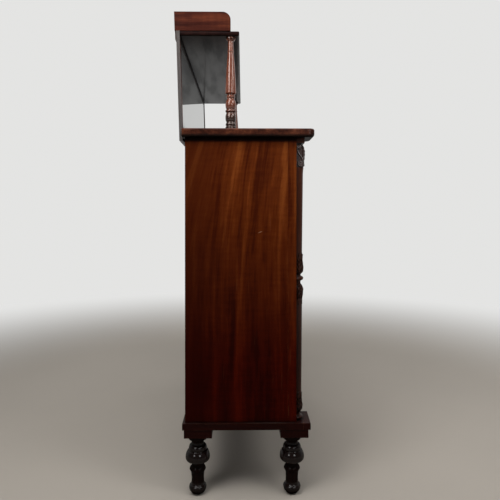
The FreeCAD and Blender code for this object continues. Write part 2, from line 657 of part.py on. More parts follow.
def make_mirror_frame():
    z0 = TOP_Z - FRAME_DROP
    z1 = GALLERY_Z
    sight_bottom = TOP_SURFACE_Z + FRAME_BOTTOM_REVEAL
    sight_top = SHELF_Z - FRAME_TOP_REVEAL
    sight_half = SHELF_HALF - FRAME_STILE_WIDTH
    low = sight_bottom - FRAME_REBATE
    high = sight_top + FRAME_REBATE
    half = sight_half + FRAME_REBATE
    pocket = lean_band(FRAME_LIP, FRAME_THICKNESS + PAST, low, high, -half, half)
    stile = lean_band(0, FRAME_THICKNESS, z0, z1, sight_half, SHELF_HALF).cut(pocket)
    rails = [
        lean_band(0, FRAME_THICKNESS, z0, sight_bottom, -sight_half, sight_half).cut(pocket),
        lean_band(0, FRAME_THICKNESS, sight_top, z1, -sight_half, sight_half).cut(pocket),
    ]
    for x in frame_screw_places():
        rails[0] = rails[0].cut(frame_screw(x, SCREW_FIT))
    save("mirror_frame", stile, mirrored(stile), *rails)
    glass_back = FRAME_LIP + MIRROR_THICKNESS
    save("mirror_glass", lean_band(FRAME_LIP, glass_back, low, high, -half, half))
    backing_back = glass_back + MIRROR_BACKING_THICKNESS
    save("mirror_backing", lean_band(glass_back, backing_back, low, high, -half, half))


def make_gallery():
    front = SHELF_FRONT + GALLERY_SIDE_SETBACK
    back = GALLERY_BACK_OFFSET
    x0 = SHELF_HALF - GALLERY_SIDE_THICKNESS
    back_foot = (lean_y(back, GALLERY_Z), GALLERY_Z)
    back_head = (lean_y(back, CREST_Z), CREST_Z)
    outline = [(front, GALLERY_Z), back_foot, back_head, (front, CREST_Z)]
    side = prism_yz(outline, x0, SHELF_HALF)
    corner = [edge for edge in side.Edges
              if abs(edge.BoundBox.YMax - front) < NEAR and abs(edge.BoundBox.ZMin - CREST_Z) < NEAR]
    save_pair("gallery_side", side.makeFillet(GALLERY_CORNER_RADIUS, corner))
    near = back - GALLERY_BACK_THICKNESS
    board = lean_band(near, back, GALLERY_Z, CREST_Z, -x0, x0)
    lip = lean_band(FRAME_THICKNESS, back, GALLERY_Z - GALLERY_LIP_LENGTH, GALLERY_Z, -x0, x0)
    save("gallery_back", board.fuse(lip).removeSplitter())


# ---------------------------------------------------------------- hinges
def hinge_heights():
    return (DOOR_Z + HINGE_FROM_DOOR_END, DOOR_TOP_Z - HINGE_FROM_DOOR_END)


def hinge_axis_rod(z, radius, length):
    """Upright rod on the hinge axis of the right-hand door, centred at the height z."""
    return rod(Vector(PIN_X, PIN_Y, z - length / 2), Vector(0, 0, 1), radius, length)


def hinge_bed_in_stile(z):
    half = HINGE_LENGTH / 2 + HINGE_PLAY
    edge = OPENING_HALF
    leaf = box(edge, edge + HINGE_LEAF_THICKNESS, PIN_Y, PIN_Y + HINGE_LEAF_WIDTH, z - half, z + half)
    return leaf.fuse(hinge_axis_rod(z, HINGE_KNUCKLE_RADIUS + HINGE_PLAY, 2 * half))


def hinge_bed_in_door(z):
    half = HINGE_LENGTH / 2
    edge = DOOR_EDGE
    leaf = box(edge - HINGE_LEAF_THICKNESS, edge, FACE_Y, PIN_Y + HINGE_LEAF_WIDTH, z - half, z + half)
    return leaf.fuse(hinge_axis_rod(z, HINGE_KNUCKLE_RADIUS + HINGE_PLAY, 2 * half))


def hinge_halves(z):
    """The leaf that is screwed to the stile, with the pin, and the leaf that is screwed to the door."""
    half = HINGE_LENGTH / 2
    middle = HINGE_LENGTH / 3
    clear = HINGE_KNUCKLE_RADIUS + HINGE_PLAY
    barrel = hinge_axis_rod(z, HINGE_KNUCKLE_RADIUS, HINGE_LENGTH)
    middle_space = hinge_axis_rod(z, clear, middle)
    pin = hinge_axis_rod(z, HINGE_PIN_RADIUS, HINGE_LENGTH)
    leaf_back = PIN_Y + HINGE_LEAF_WIDTH
    leaf = box(OPENING_HALF, OPENING_HALF + HINGE_LEAF_THICKNESS, PIN_Y, leaf_back, z - half, z + half)
    fixed = leaf.fuse(barrel).cut(middle_space).fuse(pin).removeSplitter()

    knuckle = hinge_axis_rod(z, HINGE_KNUCKLE_RADIUS, middle - 2 * HINGE_PLAY)
    leaf = box(DOOR_EDGE - HINGE_LEAF_THICKNESS, DOOR_EDGE, PIN_Y, leaf_back, z - half, z + half)
    end_length = (HINGE_LENGTH - middle) / 2 + HINGE_PLAY
    for side in (-1, 1):
        centre = z + side * (HINGE_LENGTH / 2 - end_length / 2)
        leaf = leaf.cut(hinge_axis_rod(centre, clear, end_length))
    bore = hinge_axis_rod(z, HINGE_PIN_RADIUS + HINGE_PIN_FIT, HINGE_LENGTH)
    moving = leaf.fuse(knuckle).cut(bore).removeSplitter()
    return fixed, moving


def make_hinges():
    halves = [hinge_halves(z) for z in hinge_heights()]
    fixed = [pair[0] for pair in halves]
    moving = [pair[1] for pair in halves]
    save("hinge_plates_right", *fixed)
    save("hinge_plates_left", *[mirrored(leaf) for leaf in fixed])
    save("door_right_hinge_leaves", *moving)
    save("door_left_hinge_leaves", *[mirrored(leaf) for leaf in moving])


# ---------------------------------------------------------------- doors
def door_levels():
    """Inner edges of the right-hand door's frame: left, right, bottom and top."""
    return (MEETING_EDGE + DOOR_STILE_WIDTH, DOOR_EDGE - DOOR_STILE_WIDTH,
            DOOR_Z + DOOR_BOTTOM_RAIL_WIDTH, DOOR_TOP_Z - DOOR_TOP_RAIL_WIDTH)


def panel_groove():
    """Space that the panel's tongue lies in, all round inside the frame."""
    x0, x1, z0, z1 = door_levels()
    t = DOOR_PANEL_TONGUE
    y = panel_front_y()
    return box(x0 - t, x1 + t, y, y + DOOR_PANEL_THICKNESS, z0 - t, z1 + t)


def panel_front_y():
    return FACE_Y + (DOOR_THICKNESS - DOOR_PANEL_THICKNESS) / 2


def door_rails():
    """Top and bottom rail of the right-hand door with their tenons."""
    x0, x1, z0, z1 = door_levels()
    y = FACE_Y + (DOOR_THICKNESS - DOOR_TENON_THICKNESS) / 2
    reach = DOOR_TENON_LENGTH
    rails = []
    for low, high in ((DOOR_Z, z0), (z1, DOOR_TOP_Z)):
        board = box(x0, x1, FACE_Y, DOOR_BACK, low, high)
        tenon = box(x0 - reach, x1 + reach, y, y + DOOR_TENON_THICKNESS,
                    low + DOOR_TENON_SHOULDER, high - DOOR_TENON_SHOULDER)
        rails.append(board.fuse(tenon).cut(panel_groove()).removeSplitter())
    return rails


def door_stiles(rails):
    """Meeting stile and hinge stile of the right-hand door, mortised for the rails."""
    x0, x1, z0, z1 = door_levels()
    meeting = box(MEETING_EDGE, x0, FACE_Y, DOOR_BACK, DOOR_Z, DOOR_TOP_Z)
    hanging = box(x1, DOOR_EDGE, FACE_Y, DOOR_BACK, DOOR_Z, DOOR_TOP_Z)
    for rail in rails:
        meeting = meeting.cut(rail)
        hanging = hanging.cut(rail)
    meeting = meeting.cut(panel_groove())
    hanging = hanging.cut(panel_groove())
    for z in hinge_heights():
        hanging = hanging.cut(hinge_bed_in_door(z))
    return meeting, hanging


def door_panel():
    x0, x1, z0, z1 = door_levels()
    t = DOOR_PANEL_TONGUE - DOOR_PANEL_PLAY
    y = panel_front_y()
    return box(x0 - t, x1 + t, y, y + DOOR_PANEL_THICKNESS, z0 - t, z1 + t)


def moulding_strip(length):
    """Mitred strip along X, centred; its outer edge lies on Z = 0 and its seat on Y = 0."""
    proud = panel_front_y() - FACE_Y + MOULDING_PROUD
    width = MOULDING_WIDTH
    inner = MOULDING_EDGE
    back = Vector(-length / 2, 0, 0)
    shoulder = Vector(-length / 2, -proud, 0)
    crown = Vector(-length / 2, -proud, width * MOULDING_CROWN_SHARE)
    toe = Vector(-length / 2, -inner, width)
    seat = Vector(-length / 2, 0, width)
    chord = toe - crown
    outward = Vector(0, -chord.z, chord.y).normalize()
    belly = (crown + toe) * 0.5 + outward * (width * MOULDING_BELLY_SHARE)
    edges = [line(back, shoulder), line(shoulder, crown), Part.Arc(crown, belly, toe).toShape(),
             line(toe, seat), line(seat, back)]
    run = Part.Face(Part.Wire(edges)).extrude(Vector(length, 0, 0))
    half = length / 2
    outline = ((-half, 0), (half, 0), (half - width, width), (width - half, width))
    corners = [Vector(x, 0, z) for x, z in outline]
    mitre = Part.Face(Part.makePolygon(corners + corners[:1])).extrude(Vector(0, -2 * proud, 0))
    return run.common(mitre)


def door_moulding():
    """Four mitred strips round the panel's sight opening."""
    x0, x1, z0, z1 = door_levels()
    centre_x = (x0 + x1) / 2
    centre_z = (z0 + z1) / 2
    strips = []
    for turn, length, reach in ((0, x1 - x0, z1 - z0), (90, z1 - z0, x1 - x0)):
        for flip in (0, 180):
            strip = moulding_strip(length)
            strip.translate(Vector(0, 0, -reach / 2))
            strip.rotate(Vector(0, 0, 0), Vector(0, 1, 0), turn + flip)
            strip.translate(Vector(centre_x, panel_front_y(), centre_z))
            strips.append(strip)
    return strips


def make_doors():
    rails = door_rails()
    meeting, hanging = door_stiles(rails)
    right_meeting = meeting.cut(lock_bed())
    left_meeting = mirrored(meeting).cut(lock_strike())
    save("door_right_stiles", right_meeting, hanging)
    save("door_left_stiles", left_meeting, mirrored(hanging))
    moulding = door_moulding()
    save("door_right_rails", *rails)
    save("door_left_rails", *[mirrored(rail) for rail in rails])
    save("door_right_panel", door_panel())
    save("door_left_panel", mirrored(door_panel()))
    save("door_right_moulding", *moulding)
    save("door_left_moulding", *[mirrored(strip) for strip in moulding])
    bead_front = FACE_Y - BEAD_PROUD
    bead = box(MEETING_EDGE, MEETING_EDGE + BEAD_WIDTH, bead_front, FACE_Y, DOOR_Z, DOOR_TOP_Z)
    front_edges = [edge for edge in bead.Edges
                   if abs(edge.BoundBox.YMax - bead_front) < NEAR and edge.Length > BEAD_WIDTH * 2]
    save("meeting_bead", bead.makeFillet(BEAD_PROUD * BEAD_ROUNDING_SHARE, front_edges))


# ---------------------------------------------------------------- lock, key and door bolt
def keyhole(y0, y1, growth=0.0):
    """Round hole with a slot below it, on the key's axis."""
    radius = KEY_SHANK_RADIUS + KEY_SHANK_FIT + growth
    hole = rod(Vector(KEY_X, y0, LOCK_Z), Vector(0, 1, 0), radius, y1 - y0)
    half = KEY_BIT_THICKNESS / 2 + LOCK_BOLT_PLAY + growth
    slot_low = LOCK_Z - KEY_BIT_RADIUS - LOCK_BOLT_PLAY - growth
    slot = box(KEY_X - half, KEY_X + half, y0, y1, slot_low, LOCK_Z)
    return hole.fuse(slot)


def lock_outer():
    half = LOCK_CASE_HEIGHT / 2
    return box(MEETING_EDGE, MEETING_EDGE + LOCK_CASE_WIDTH, DOOR_BACK - LOCK_CASE_DEPTH, DOOR_BACK,
               LOCK_Z - half, LOCK_Z + half)


def lock_bed():
    return lock_outer().fuse(keyhole(FACE_Y - PAST, DOOR_BACK))


def lock_bolt(growth=0.0, shift=0.0):
    x = MEETING_EDGE + LOCK_BOLT_PLAY - shift
    low = LOCK_BOLT_Z + LOCK_BOLT_PLAY
    return box(x - growth, x + LOCK_BOLT_LENGTH + growth,
               LOCK_BOLT_Y - growth, LOCK_BOLT_Y + LOCK_BOLT_THICKNESS + growth,
               low - growth, low + LOCK_BOLT_HEIGHT + growth)


def lock_strike():
    """Mortise in the left-hand door's meeting stile that takes the thrown bolt."""
    return lock_bolt(LOCK_BOLT_PLAY * 2, LOCK_THROW)


def key():
    """Key with its bit down inside the lock and its bow in front of the door."""
    inside = DOOR_BACK - LOCK_CASE_DEPTH + LOCK_WALL
    tip = inside + KEY_BIT_WIDTH + LOCK_BOLT_PLAY
    head = FACE_Y - KEY_STAND_OUT
    shank = rod(Vector(KEY_X, head, LOCK_Z), Vector(0, 1, 0), KEY_SHANK_RADIUS, tip - head)
    half = KEY_BIT_THICKNESS / 2
    bit = box(KEY_X - half, KEY_X + half, tip - KEY_BIT_WIDTH, tip, LOCK_Z - KEY_BIT_RADIUS, LOCK_Z)
    collar = rod(Vector(KEY_X, head, LOCK_Z), Vector(0, 1, 0), KEY_COLLAR_RADIUS, KEY_COLLAR_LENGTH)
    centre = Vector(KEY_X - KEY_BOW_WALL / 2, head - KEY_BOW_RADIUS + KEY_BOW_WALL / 2, LOCK_Z)
    bow = rod(centre, Vector(1, 0, 0), KEY_BOW_RADIUS, KEY_BOW_WALL)
    eye = rod(centre, Vector(1, 0, 0), KEY_BOW_RADIUS - KEY_BOW_WALL, KEY_BOW_WALL)
    return bow.cut(eye).fuse(shank).fuse(collar).fuse(bit).cut(eye).removeSplitter()


def make_lock():
    w = LOCK_WALL
    half = LOCK_CASE_HEIGHT / 2
    front = DOOR_BACK - LOCK_CASE_DEPTH
    far = MEETING_EDGE + LOCK_CASE_WIDTH
    room = box(MEETING_EDGE + w, far - w, front + w, DOOR_BACK - w, LOCK_Z - half + w, LOCK_Z + half - w)
    mouth = lock_bolt(LOCK_BOLT_PLAY, LOCK_WALL)
    case = lock_outer().cut(room).cut(mouth)
    save("lock_case", case.cut(keyhole(front - PAST, front + LOCK_CASE_DEPTH / 2)))
    save("lock_bolt", lock_bolt())
    save("door_key", key())
    half_x = ESCUTCHEON_WIDTH / 2
    half_z = ESCUTCHEON_HEIGHT / 2
    plate_front = FACE_Y - ESCUTCHEON_THICKNESS
    plate = box(KEY_X - half_x, KEY_X + half_x, plate_front, FACE_Y, LOCK_Z - half_z, LOCK_Z + half_z)
    corners = [edge for edge in plate.Edges if abs(edge.BoundBox.YLength - ESCUTCHEON_THICKNESS) < NEAR]
    plate = plate.makeFillet(ESCUTCHEON_WIDTH * ESCUTCHEON_CORNER_SHARE, corners)
    save("escutcheon", plate.cut(keyhole(plate_front - PAST, FACE_Y + PAST)))


def door_bolt_bar(growth=0.0):
    half = DOOR_BOLT_WIDTH / 2 + growth
    return box(DOOR_BOLT_X - half, DOOR_BOLT_X + half,
               DOOR_BOLT_Y - growth, DOOR_BOLT_Y + DOOR_BOLT_DEPTH + growth,
               DOOR_BOLT_TOP - DOOR_BOLT_LENGTH - growth, DOOR_BOLT_TOP + growth)


def make_door_bolt():
    """Small bolt inside the left-hand door that slides up into the drawer rail."""
    half = DOOR_BOLT_PLATE_WIDTH / 2
    plate_top = DOOR_TOP_Z - DOOR_BOLT_PLAY
    face = DOOR_BACK + DOOR_BOLT_PLATE_THICKNESS
    x = DOOR_BOLT_X
    plate_low = plate_top - DOOR_BOLT_PLATE_HEIGHT
    case = box(x - half, x + half, DOOR_BACK, face, plate_low, plate_top)
    wall = DOOR_BOLT_PLAY + DOOR_BOLT_STAPLE_WALL
    reach = DOOR_BOLT_WIDTH / 2 + wall
    crown = DOOR_BOLT_Y + DOOR_BOLT_DEPTH + wall
    margin = DOOR_BOLT_STAPLE_MARGIN
    for low in (plate_low + margin, plate_top - margin - DOOR_BOLT_STAPLE_HEIGHT):
        case = case.fuse(box(x - reach, x + reach, DOOR_BACK, crown, low, low + DOOR_BOLT_STAPLE_HEIGHT))
    slot = door_bolt_bar(DOOR_BOLT_PLAY)
    slot = slot.fuse(slot.translated(Vector(0, 0, -DOOR_BOLT_THROW)))
    slot = slot.fuse(slot.translated(Vector(0, 0, 2 * DOOR_BOLT_THROW)))
    save("door_left_bolt_case", case.cut(slot).removeSplitter())
    knob_z = DOOR_BOLT_TOP - DOOR_BOLT_LENGTH / 2 - DOOR_BOLT_THROW / 2
    knob = rod(Vector(DOOR_BOLT_X, DOOR_BOLT_Y + DOOR_BOLT_DEPTH / 2, knob_z), Vector(0, 1, 0),
               DOOR_BOLT_KNOB_RADIUS, DOOR_BOLT_DEPTH / 2 + DOOR_BOLT_KNOB_LENGTH)
    save("door_left_bolt", door_bolt_bar().fuse(knob).removeSplitter())


# ---------------------------------------------------------------- drawer
def drawer_levels():
    """Half width, bottom of the sides, and the Y of the front's back face and of the drawer's back."""
    half = OPENING_HALF - DRAWER_GAP
    return half, DRAWER_OPENING_Z + DRAWER_RUN_GAP, FACE_Y + DRAWER_FRONT_THICKNESS, FACE_Y + DRAWER_DEPTH


def drawer_front_board():
    """Cushion front, bowed in section, that hangs forward of the rail and is hollowed for the fingers."""
    half, side_z, inner_y, back_y = drawer_levels()
    low = DRAWER_OPENING_Z + DRAWER_GAP
    high = TOP_Z - DRAWER_GAP
    edge_y = FACE_Y - DRAWER_FRONT_OVERHANG
    bottom = Vector(-half, edge_y, low)
    top = Vector(-half, edge_y, high)
    crown = Vector(-half, edge_y - DRAWER_CUSHION, (low + high) / 2)
    edges = [
        Part.Arc(bottom, crown, top).toShape(),
        line(top, Vector(-half, inner_y, high)),
        line(Vector(-half, inner_y, high), Vector(-half, inner_y, low)),
        line(Vector(-half, inner_y, low), bottom),
    ]
    board = Part.Face(Part.Wire(edges)).extrude(Vector(2 * half, 0, 0))
    start = Vector(STILE_WIDTH - half, FACE_Y - DRAWER_PULL_RADIUS, low)
    return board.cut(rod(start, Vector(1, 0, 0), DRAWER_PULL_RADIUS, 2 * (half - STILE_WIDTH)))


def make_drawer():
    half, side_z, inner_y, back_y = drawer_levels()
    side_top = side_z + DRAWER_SIDE_HEIGHT
    groove_z = side_z + DRAWER_BOTTOM_RISE
    bottom_top = groove_z + DRAWER_BOTTOM_THICKNESS
    inner_x = half - DRAWER_SIDE_THICKNESS
    side = box(inner_x, half, inner_y - DRAWER_SIDE_LAP, back_y, side_z, side_top)
    bottom_x = inner_x + DRAWER_GROOVE
    bottom = box(-bottom_x, bottom_x, inner_y - DRAWER_GROOVE, back_y, groove_z, bottom_top)
    save("drawer_front", drawer_front_board().cut(side).cut(mirrored(side)).cut(bottom))
    save_pair("drawer_side", side.cut(bottom))
    save("drawer_bottom", bottom)
    back_top = side_top - DRAWER_BACK_DROP
    back = box(-inner_x, inner_x, back_y - DRAWER_BACK_THICKNESS, back_y, bottom_top, back_top)
    save("drawer_back", back)


def main():
    os.makedirs("parts", exist_ok=True)
    make_feet()
    make_plinth()
    make_sides()
    make_stiles()
    make_back_boards()
    make_case_boards()
    make_drawer_rail()
    make_top_rails()
    make_runners()
    make_half_columns()
    make_corbels()
    make_top()
    make_posts()
    make_shelf()
    make_mirror_frame()
    make_screws()
    make_gallery()
    make_hinges()
    make_doors()
    make_lock()
    make_door_bolt()
    make_drawer()


main()
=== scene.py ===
"""Blender dress of a mahogany chiffonier: finishes for its joinery, and the carved and fitted pieces."""

from __future__ import annotations

import logging
import math
import zlib
from collections.abc import Sequence
from dataclasses import dataclass, replace
from enum import Enum

import bmesh
import bpy
import numpy as np
from mathutils import Euler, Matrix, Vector

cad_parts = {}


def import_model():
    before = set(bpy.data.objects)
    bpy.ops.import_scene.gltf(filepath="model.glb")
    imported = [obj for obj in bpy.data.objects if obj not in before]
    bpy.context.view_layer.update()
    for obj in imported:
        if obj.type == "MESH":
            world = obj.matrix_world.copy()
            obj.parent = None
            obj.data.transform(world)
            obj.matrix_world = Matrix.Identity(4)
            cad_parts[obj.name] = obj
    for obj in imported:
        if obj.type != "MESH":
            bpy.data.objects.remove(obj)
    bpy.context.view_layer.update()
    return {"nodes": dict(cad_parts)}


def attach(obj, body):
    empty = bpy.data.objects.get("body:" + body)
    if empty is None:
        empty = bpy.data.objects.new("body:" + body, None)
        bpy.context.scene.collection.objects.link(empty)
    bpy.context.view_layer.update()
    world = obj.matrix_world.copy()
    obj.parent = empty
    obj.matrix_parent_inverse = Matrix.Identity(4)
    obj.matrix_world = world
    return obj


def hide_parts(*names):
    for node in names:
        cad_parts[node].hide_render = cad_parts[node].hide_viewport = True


log = logging.getLogger("chiffonier")

Colour = tuple[float, float, float]
Place = tuple[float, float, float]
Span = tuple[float, float]
Socket = bpy.types.NodeSocket
MM = 0.001


# ---------------------------------------------------------------- node trees
@dataclass(frozen=True)
class Term:
    """A value in a node tree that can be reckoned with: one number, or three at once."""

    sheet: Sheet
    socket: Socket

    def run(self, operation: str, *others: object) -> Term:
        """This value and others through one Math or Vector Math node."""
        reckon = self.sheet.math if self.socket.type == "VALUE" else self.sheet.vector
        return reckon(operation, self, *others)

    def __add__(self, other: object) -> Term:
        """The sum."""
        return self.run("ADD", other)

    def __sub__(self, other: object) -> Term:
        """The difference."""
        return self.run("SUBTRACT", other)

    def __rsub__(self, other: float) -> Term:
        """The difference from a plain number."""
        return self.sheet.math("SUBTRACT", other, self)

    def __mul__(self, other: object) -> Term:
        """The product."""
        return self.run("MULTIPLY", other)

    def __truediv__(self, other: object) -> Term:
        """The quotient."""
        return self.run("DIVIDE", other)

    def __abs__(self) -> Term:
        """The size without its sign."""
        return self.run("ABSOLUTE")

    def held(self) -> Term:
        """The same number, kept between 0 and 1 by the node that gives it."""
        self.socket.node.use_clamp = True
        return self

    def ramp(self, low: float, high: float, to_low: float = 0.0, to_high: float = 1.0) -> Term:
        """The number eased from one range to another and held at its ends."""
        names = {"Value": self, "From Min": low, "From Max": high, "To Min": to_low, "To Max": to_high}
        return self.sheet.value("ShaderNodeMapRange", "Result", names, interpolation_type="SMOOTHSTEP")


class Kind(Enum):
    """The kinds of socket that the groups take and give."""

    NUMBER = "NodeSocketFloat"
    WHOLE = "NodeSocketInt"
    VECTOR = "NodeSocketVector"
    COLOUR = "NodeSocketColor"
    MATERIAL = "NodeSocketMaterial"
    SHAPE = "NodeSocketGeometry"


@dataclass(frozen=True)
class Sheet:
    """Short calls for laying out one node tree."""

    tree: bpy.types.NodeTree

    def feed(self, socket: Socket, value: object) -> None:
        """Links a socket to a value of the tree, or sets it to a plain one.

        Args:
            socket: the input.
            value: a term, a number, a colour, a vector or a data block.
        """
        if isinstance(value, Term):
            self.tree.links.new(value.socket, socket)
        elif socket.type == "RGBA":
            socket.default_value = (*value, 1.0)
        else:
            socket.default_value = value

    def add(self, kind: str, sockets: dict | None = None, **settings: object) -> bpy.types.Node:
        """Adds a node.

        Args:
            kind: Blender's name of the node's type.
            sockets: input name or number to its value.
            settings: the node's own properties.

        Returns:
            The node.
        """
        node = self.tree.nodes.new(kind)
        for name, value in settings.items():
            setattr(node, name, value)
        for key, value in (sockets or {}).items():
            self.feed(node.inputs[key], value)
        return node

    def value(self, kind: str, output: str | int, sockets: dict | None = None, **settings: object) -> Term:
        """One output of a new node, by its name or number."""
        return Term(self, self.add(kind, sockets, **settings).outputs[output])

    def values(self, kind: str, sockets: dict | None = None, **settings: object) -> dict[str, Term]:
        """All the outputs of a new node, by name."""
        return {out.name: Term(self, out) for out in self.add(kind, sockets, **settings).outputs}

    def use(self, tree: bpy.types.NodeTree, **sockets: object) -> dict[str, Term]:
        """Places a shared group, and gives its outputs by name."""
        return self.values("ShaderNodeGroup", sockets, node_tree=tree)

    def give(self, **values: object) -> bpy.types.NodeTree:
        """Ends a group with its outputs, and gives its tree."""
        self.add("NodeGroupOutput", values)
        return self.tree

    def math(self, operation: str, *values: object) -> Term:
        """A Math node's number."""
        return self.value("ShaderNodeMath", 0, dict(enumerate(values)), operation=operation)

    def vector(self, operation: str, *values: object) -> Term:
        """A Vector Math node's vector."""
        return self.value("ShaderNodeVectorMath", 0, dict(enumerate(values)), operation=operation)

    def measure(self, operation: str, *values: object) -> Term:
        """A Vector Math node's number."""
        return self.value("ShaderNodeVectorMath", "Value", dict(enumerate(values)), operation=operation)

    def parts(self, vector: Term) -> tuple[Term, ...]:
        """A vector's X, Y and Z."""
        return tuple(self.values("ShaderNodeSeparateXYZ", {0: vector}).values())

    def joined(self, x: object = 0.0, y: object = 0.0, z: object = 0.0) -> Term:
        """A vector from its X, Y and Z."""
        return self.value("ShaderNodeCombineXYZ", 0, {0: x, 1: y, 2: z})

    def mix(self, factor: object, a: object, b: object, blend: str = "MIX") -> Term:
        """Two colours mixed, from a at a factor of 0 to b at 1."""
        return self.value("ShaderNodeMix", 2, {0: factor, 6: a, 7: b}, data_type="RGBA", blend_type=blend)

    def noise(self, vector: object, scale: float = 1.0, detail: float = 2.0, rough: float = 0.5) -> Term:
        """A noise texture's value, from 0 to 1."""
        names = {"Vector": vector, "Scale": scale, "Detail": detail, "Roughness": rough}
        return self.value("ShaderNodeTexNoise", "Fac", names)


def numbers(*names: str) -> dict[str, Kind]:
    """Names of sockets that hold a number each."""
    return dict.fromkeys(names, Kind.NUMBER)


def start_group(name: str, takes: dict[str, Kind], gives: dict[str, Kind],
                family: str = "ShaderNodeTree") -> tuple[Sheet, dict[str, Term]]:
    """A new node group with its sockets named.

    Args:
        name: the group's name.
        takes: its inputs.
        gives: its outputs.
        family: Blender's name of the tree's type.

    Returns:
        Its sheet, and its inputs by name.
    """
    sheet = Sheet(bpy.data.node_groups.new(name, family))
    for way, sockets in (("INPUT", takes), ("OUTPUT", gives)):
        for label, kind in sockets.items():
            sheet.tree.interface.new_socket(name=label, in_out=way, socket_type=kind.value)
    given = sheet.values("NodeGroupInput")
    return sheet, {label: given[label] for label in takes}


class Effects:
    """The shader groups that the finishes share, each built once."""

    # How close a pattern is, per metre along X, Y and Z, with the grain along Z.
    BANDS = (26, 26, 0.9)
    BROKEN_BANDS = (70, 70, 7)
    STREAKS = (330, 330, 9)
    CROSS_BANDS = (14, 14, 95)
    PORES = (2100, 2100, 75)
    PLUME = (11, 11, 5)
    DRIFT = (4, 4, 1.3)
    DRIFT_REACH = (0.05, 0.05, 0.02)  # metres
    CORNER_REACH = 0.055  # metres
    # From none to all: how an edge turns, the open light in hollows and corners, and how level a face is.
    EDGE_DOT = (0.99, 0.82)
    HOLLOW_LIGHT = (0.92, 0.45)
    CORNER_LIGHT = (0.85, 0.35)
    LEVEL_UP = (0.55, 0.98)
    LEVEL_DOWN = (-0.6, -0.95)

    def __init__(self) -> None:
        """Builds every group."""
        self.grain = self._grain()
        self.edges = self._edges()
        self.dust = self._dust()
        self.marks = self._marks()

    def _grain(self) -> bpy.types.NodeTree:
        """Long grain along the vector's Z: bands that can sweep aside, streaks, pores and a flame figure.

        Returns:
            The group's tree.
        """
        takes = {"Vector": Kind.VECTOR} | dict.fromkeys(("Pale", "Middle", "Deep"), Kind.COLOUR)
        takes |= numbers("Ribbon", "Streak", "Pores", "Figure", "Sweep")
        sheet, given = start_group("Wood grain", takes, {"Color": Kind.COLOUR} | numbers("Height", "Sheen"))
        place, ribbon = given["Vector"], given["Ribbon"]
        slow = sheet.value("ShaderNodeTexNoise", "Color", {"Vector": place * self.DRIFT, "Scale": 1.0})
        drift = (slow - (0.5, 0.5, 0.5)) * self.DRIFT_REACH
        _, back, height = sheet.parts(place)
        risen = sheet.math("MAXIMUM", height, 0.0)
        fan = back * 3.5 + 1.0
        wood = place + drift + sheet.joined(y=risen * risen * (fan * given["Sweep"]))
        bands = sheet.noise(wood * self.BANDS, 1.0, 2.0, 0.55)
        broken = sheet.noise(wood * self.BROKEN_BANDS, 1.0, 2.0, 0.6)
        streaks = sheet.noise(wood * self.STREAKS, 1.0, 3.0, 0.6)
        cross = sheet.noise(wood * self.CROSS_BANDS, 1.0, 1.0)
        pores = sheet.noise(wood * self.PORES, 1.0, 1.0)
        side, _, up = sheet.parts(wood)
        across = sheet.math("SQRT", side * side + 0.0009)
        arch = sheet.noise(wood * self.PLUME) * 0.22 + (across * 1.7 + up)
        plume = sheet.noise(sheet.joined(arch * 30.0, across * 14.0), 1.0, 4.0, 0.62)
        tone = (broken - 0.5) * (ribbon * 0.55) + (bands - 0.5) * ribbon
        tone = (streaks - 0.5) * given["Streak"] + tone
        tone = (cross - 0.5) * (ribbon * 0.15) + tone
        light = ((plume - 0.5) * given["Figure"] + tone + 0.5).held()
        lower = sheet.mix(light.ramp(0.12, 0.52), given["Deep"], given["Middle"])
        colour = sheet.mix(light.ramp(0.45, 0.95), lower, given["Pale"])
        pit = pores.ramp(0.6, 0.72) * given["Pores"]
        colour = sheet.mix(pit, colour, given["Deep"])
        return sheet.give(Color=colour, Height=streaks * 0.35 - pit, Sheen=streaks - 0.5)

    def _edges(self) -> bpy.types.NodeTree:
        """Worn arrises, the masks of hollows and corners that take soiling and painted shade, and a normal
        that rounds the edges.

        Returns:
            The group's tree.
        """
        takes = numbers("Radius", "Reach") | {"Vector": Kind.VECTOR}
        gives = numbers("Wear", "Hollow", "Corner") | {"Normal": Kind.VECTOR}
        sheet, given = start_group("Edge wear", takes, gives)
        rounded = sheet.value("ShaderNodeBevel", "Normal", {"Radius": given["Radius"]}, samples=4)
        flat = sheet.value("ShaderNodeNewGeometry", "Normal")
        edge = sheet.measure("DOT_PRODUCT", rounded, flat).ramp(*self.EDGE_DOT)
        near = {"Distance": given["Reach"]}
        near = sheet.value("ShaderNodeAmbientOcclusion", "AO", near, samples=6, only_local=True)
        wide = sheet.value("ShaderNodeAmbientOcclusion", "AO", {"Distance": self.CORNER_REACH}, samples=6)
        hollow = near.ramp(*self.HOLLOW_LIGHT)
        patchy = sheet.noise(given["Vector"], 46.0, 3.0, 0.6).ramp(0.38, 0.66)
        wear = (edge * patchy * (1.0 - hollow)).held()
        return sheet.give(Wear=wear, Hollow=hollow, Corner=wide.ramp(*self.CORNER_LIGHT), Normal=rounded)

    def _dust(self) -> bpy.types.NodeTree:
        """Thin settled dust on what faces up, and the mask of what faces down.

        Returns:
            The group's tree.
        """
        sheet, given = start_group("Dust", {"Vector": Kind.VECTOR}, numbers("Settled", "Under"))
        _, _, level = sheet.parts(sheet.value("ShaderNodeNewGeometry", "Normal"))
        patch = sheet.noise(given["Vector"], 7.0, 5.0, 0.62).ramp(0.3, 0.75)
        return sheet.give(Settled=level.ramp(*self.LEVEL_UP) * patch, Under=level.ramp(*self.LEVEL_DOWN))

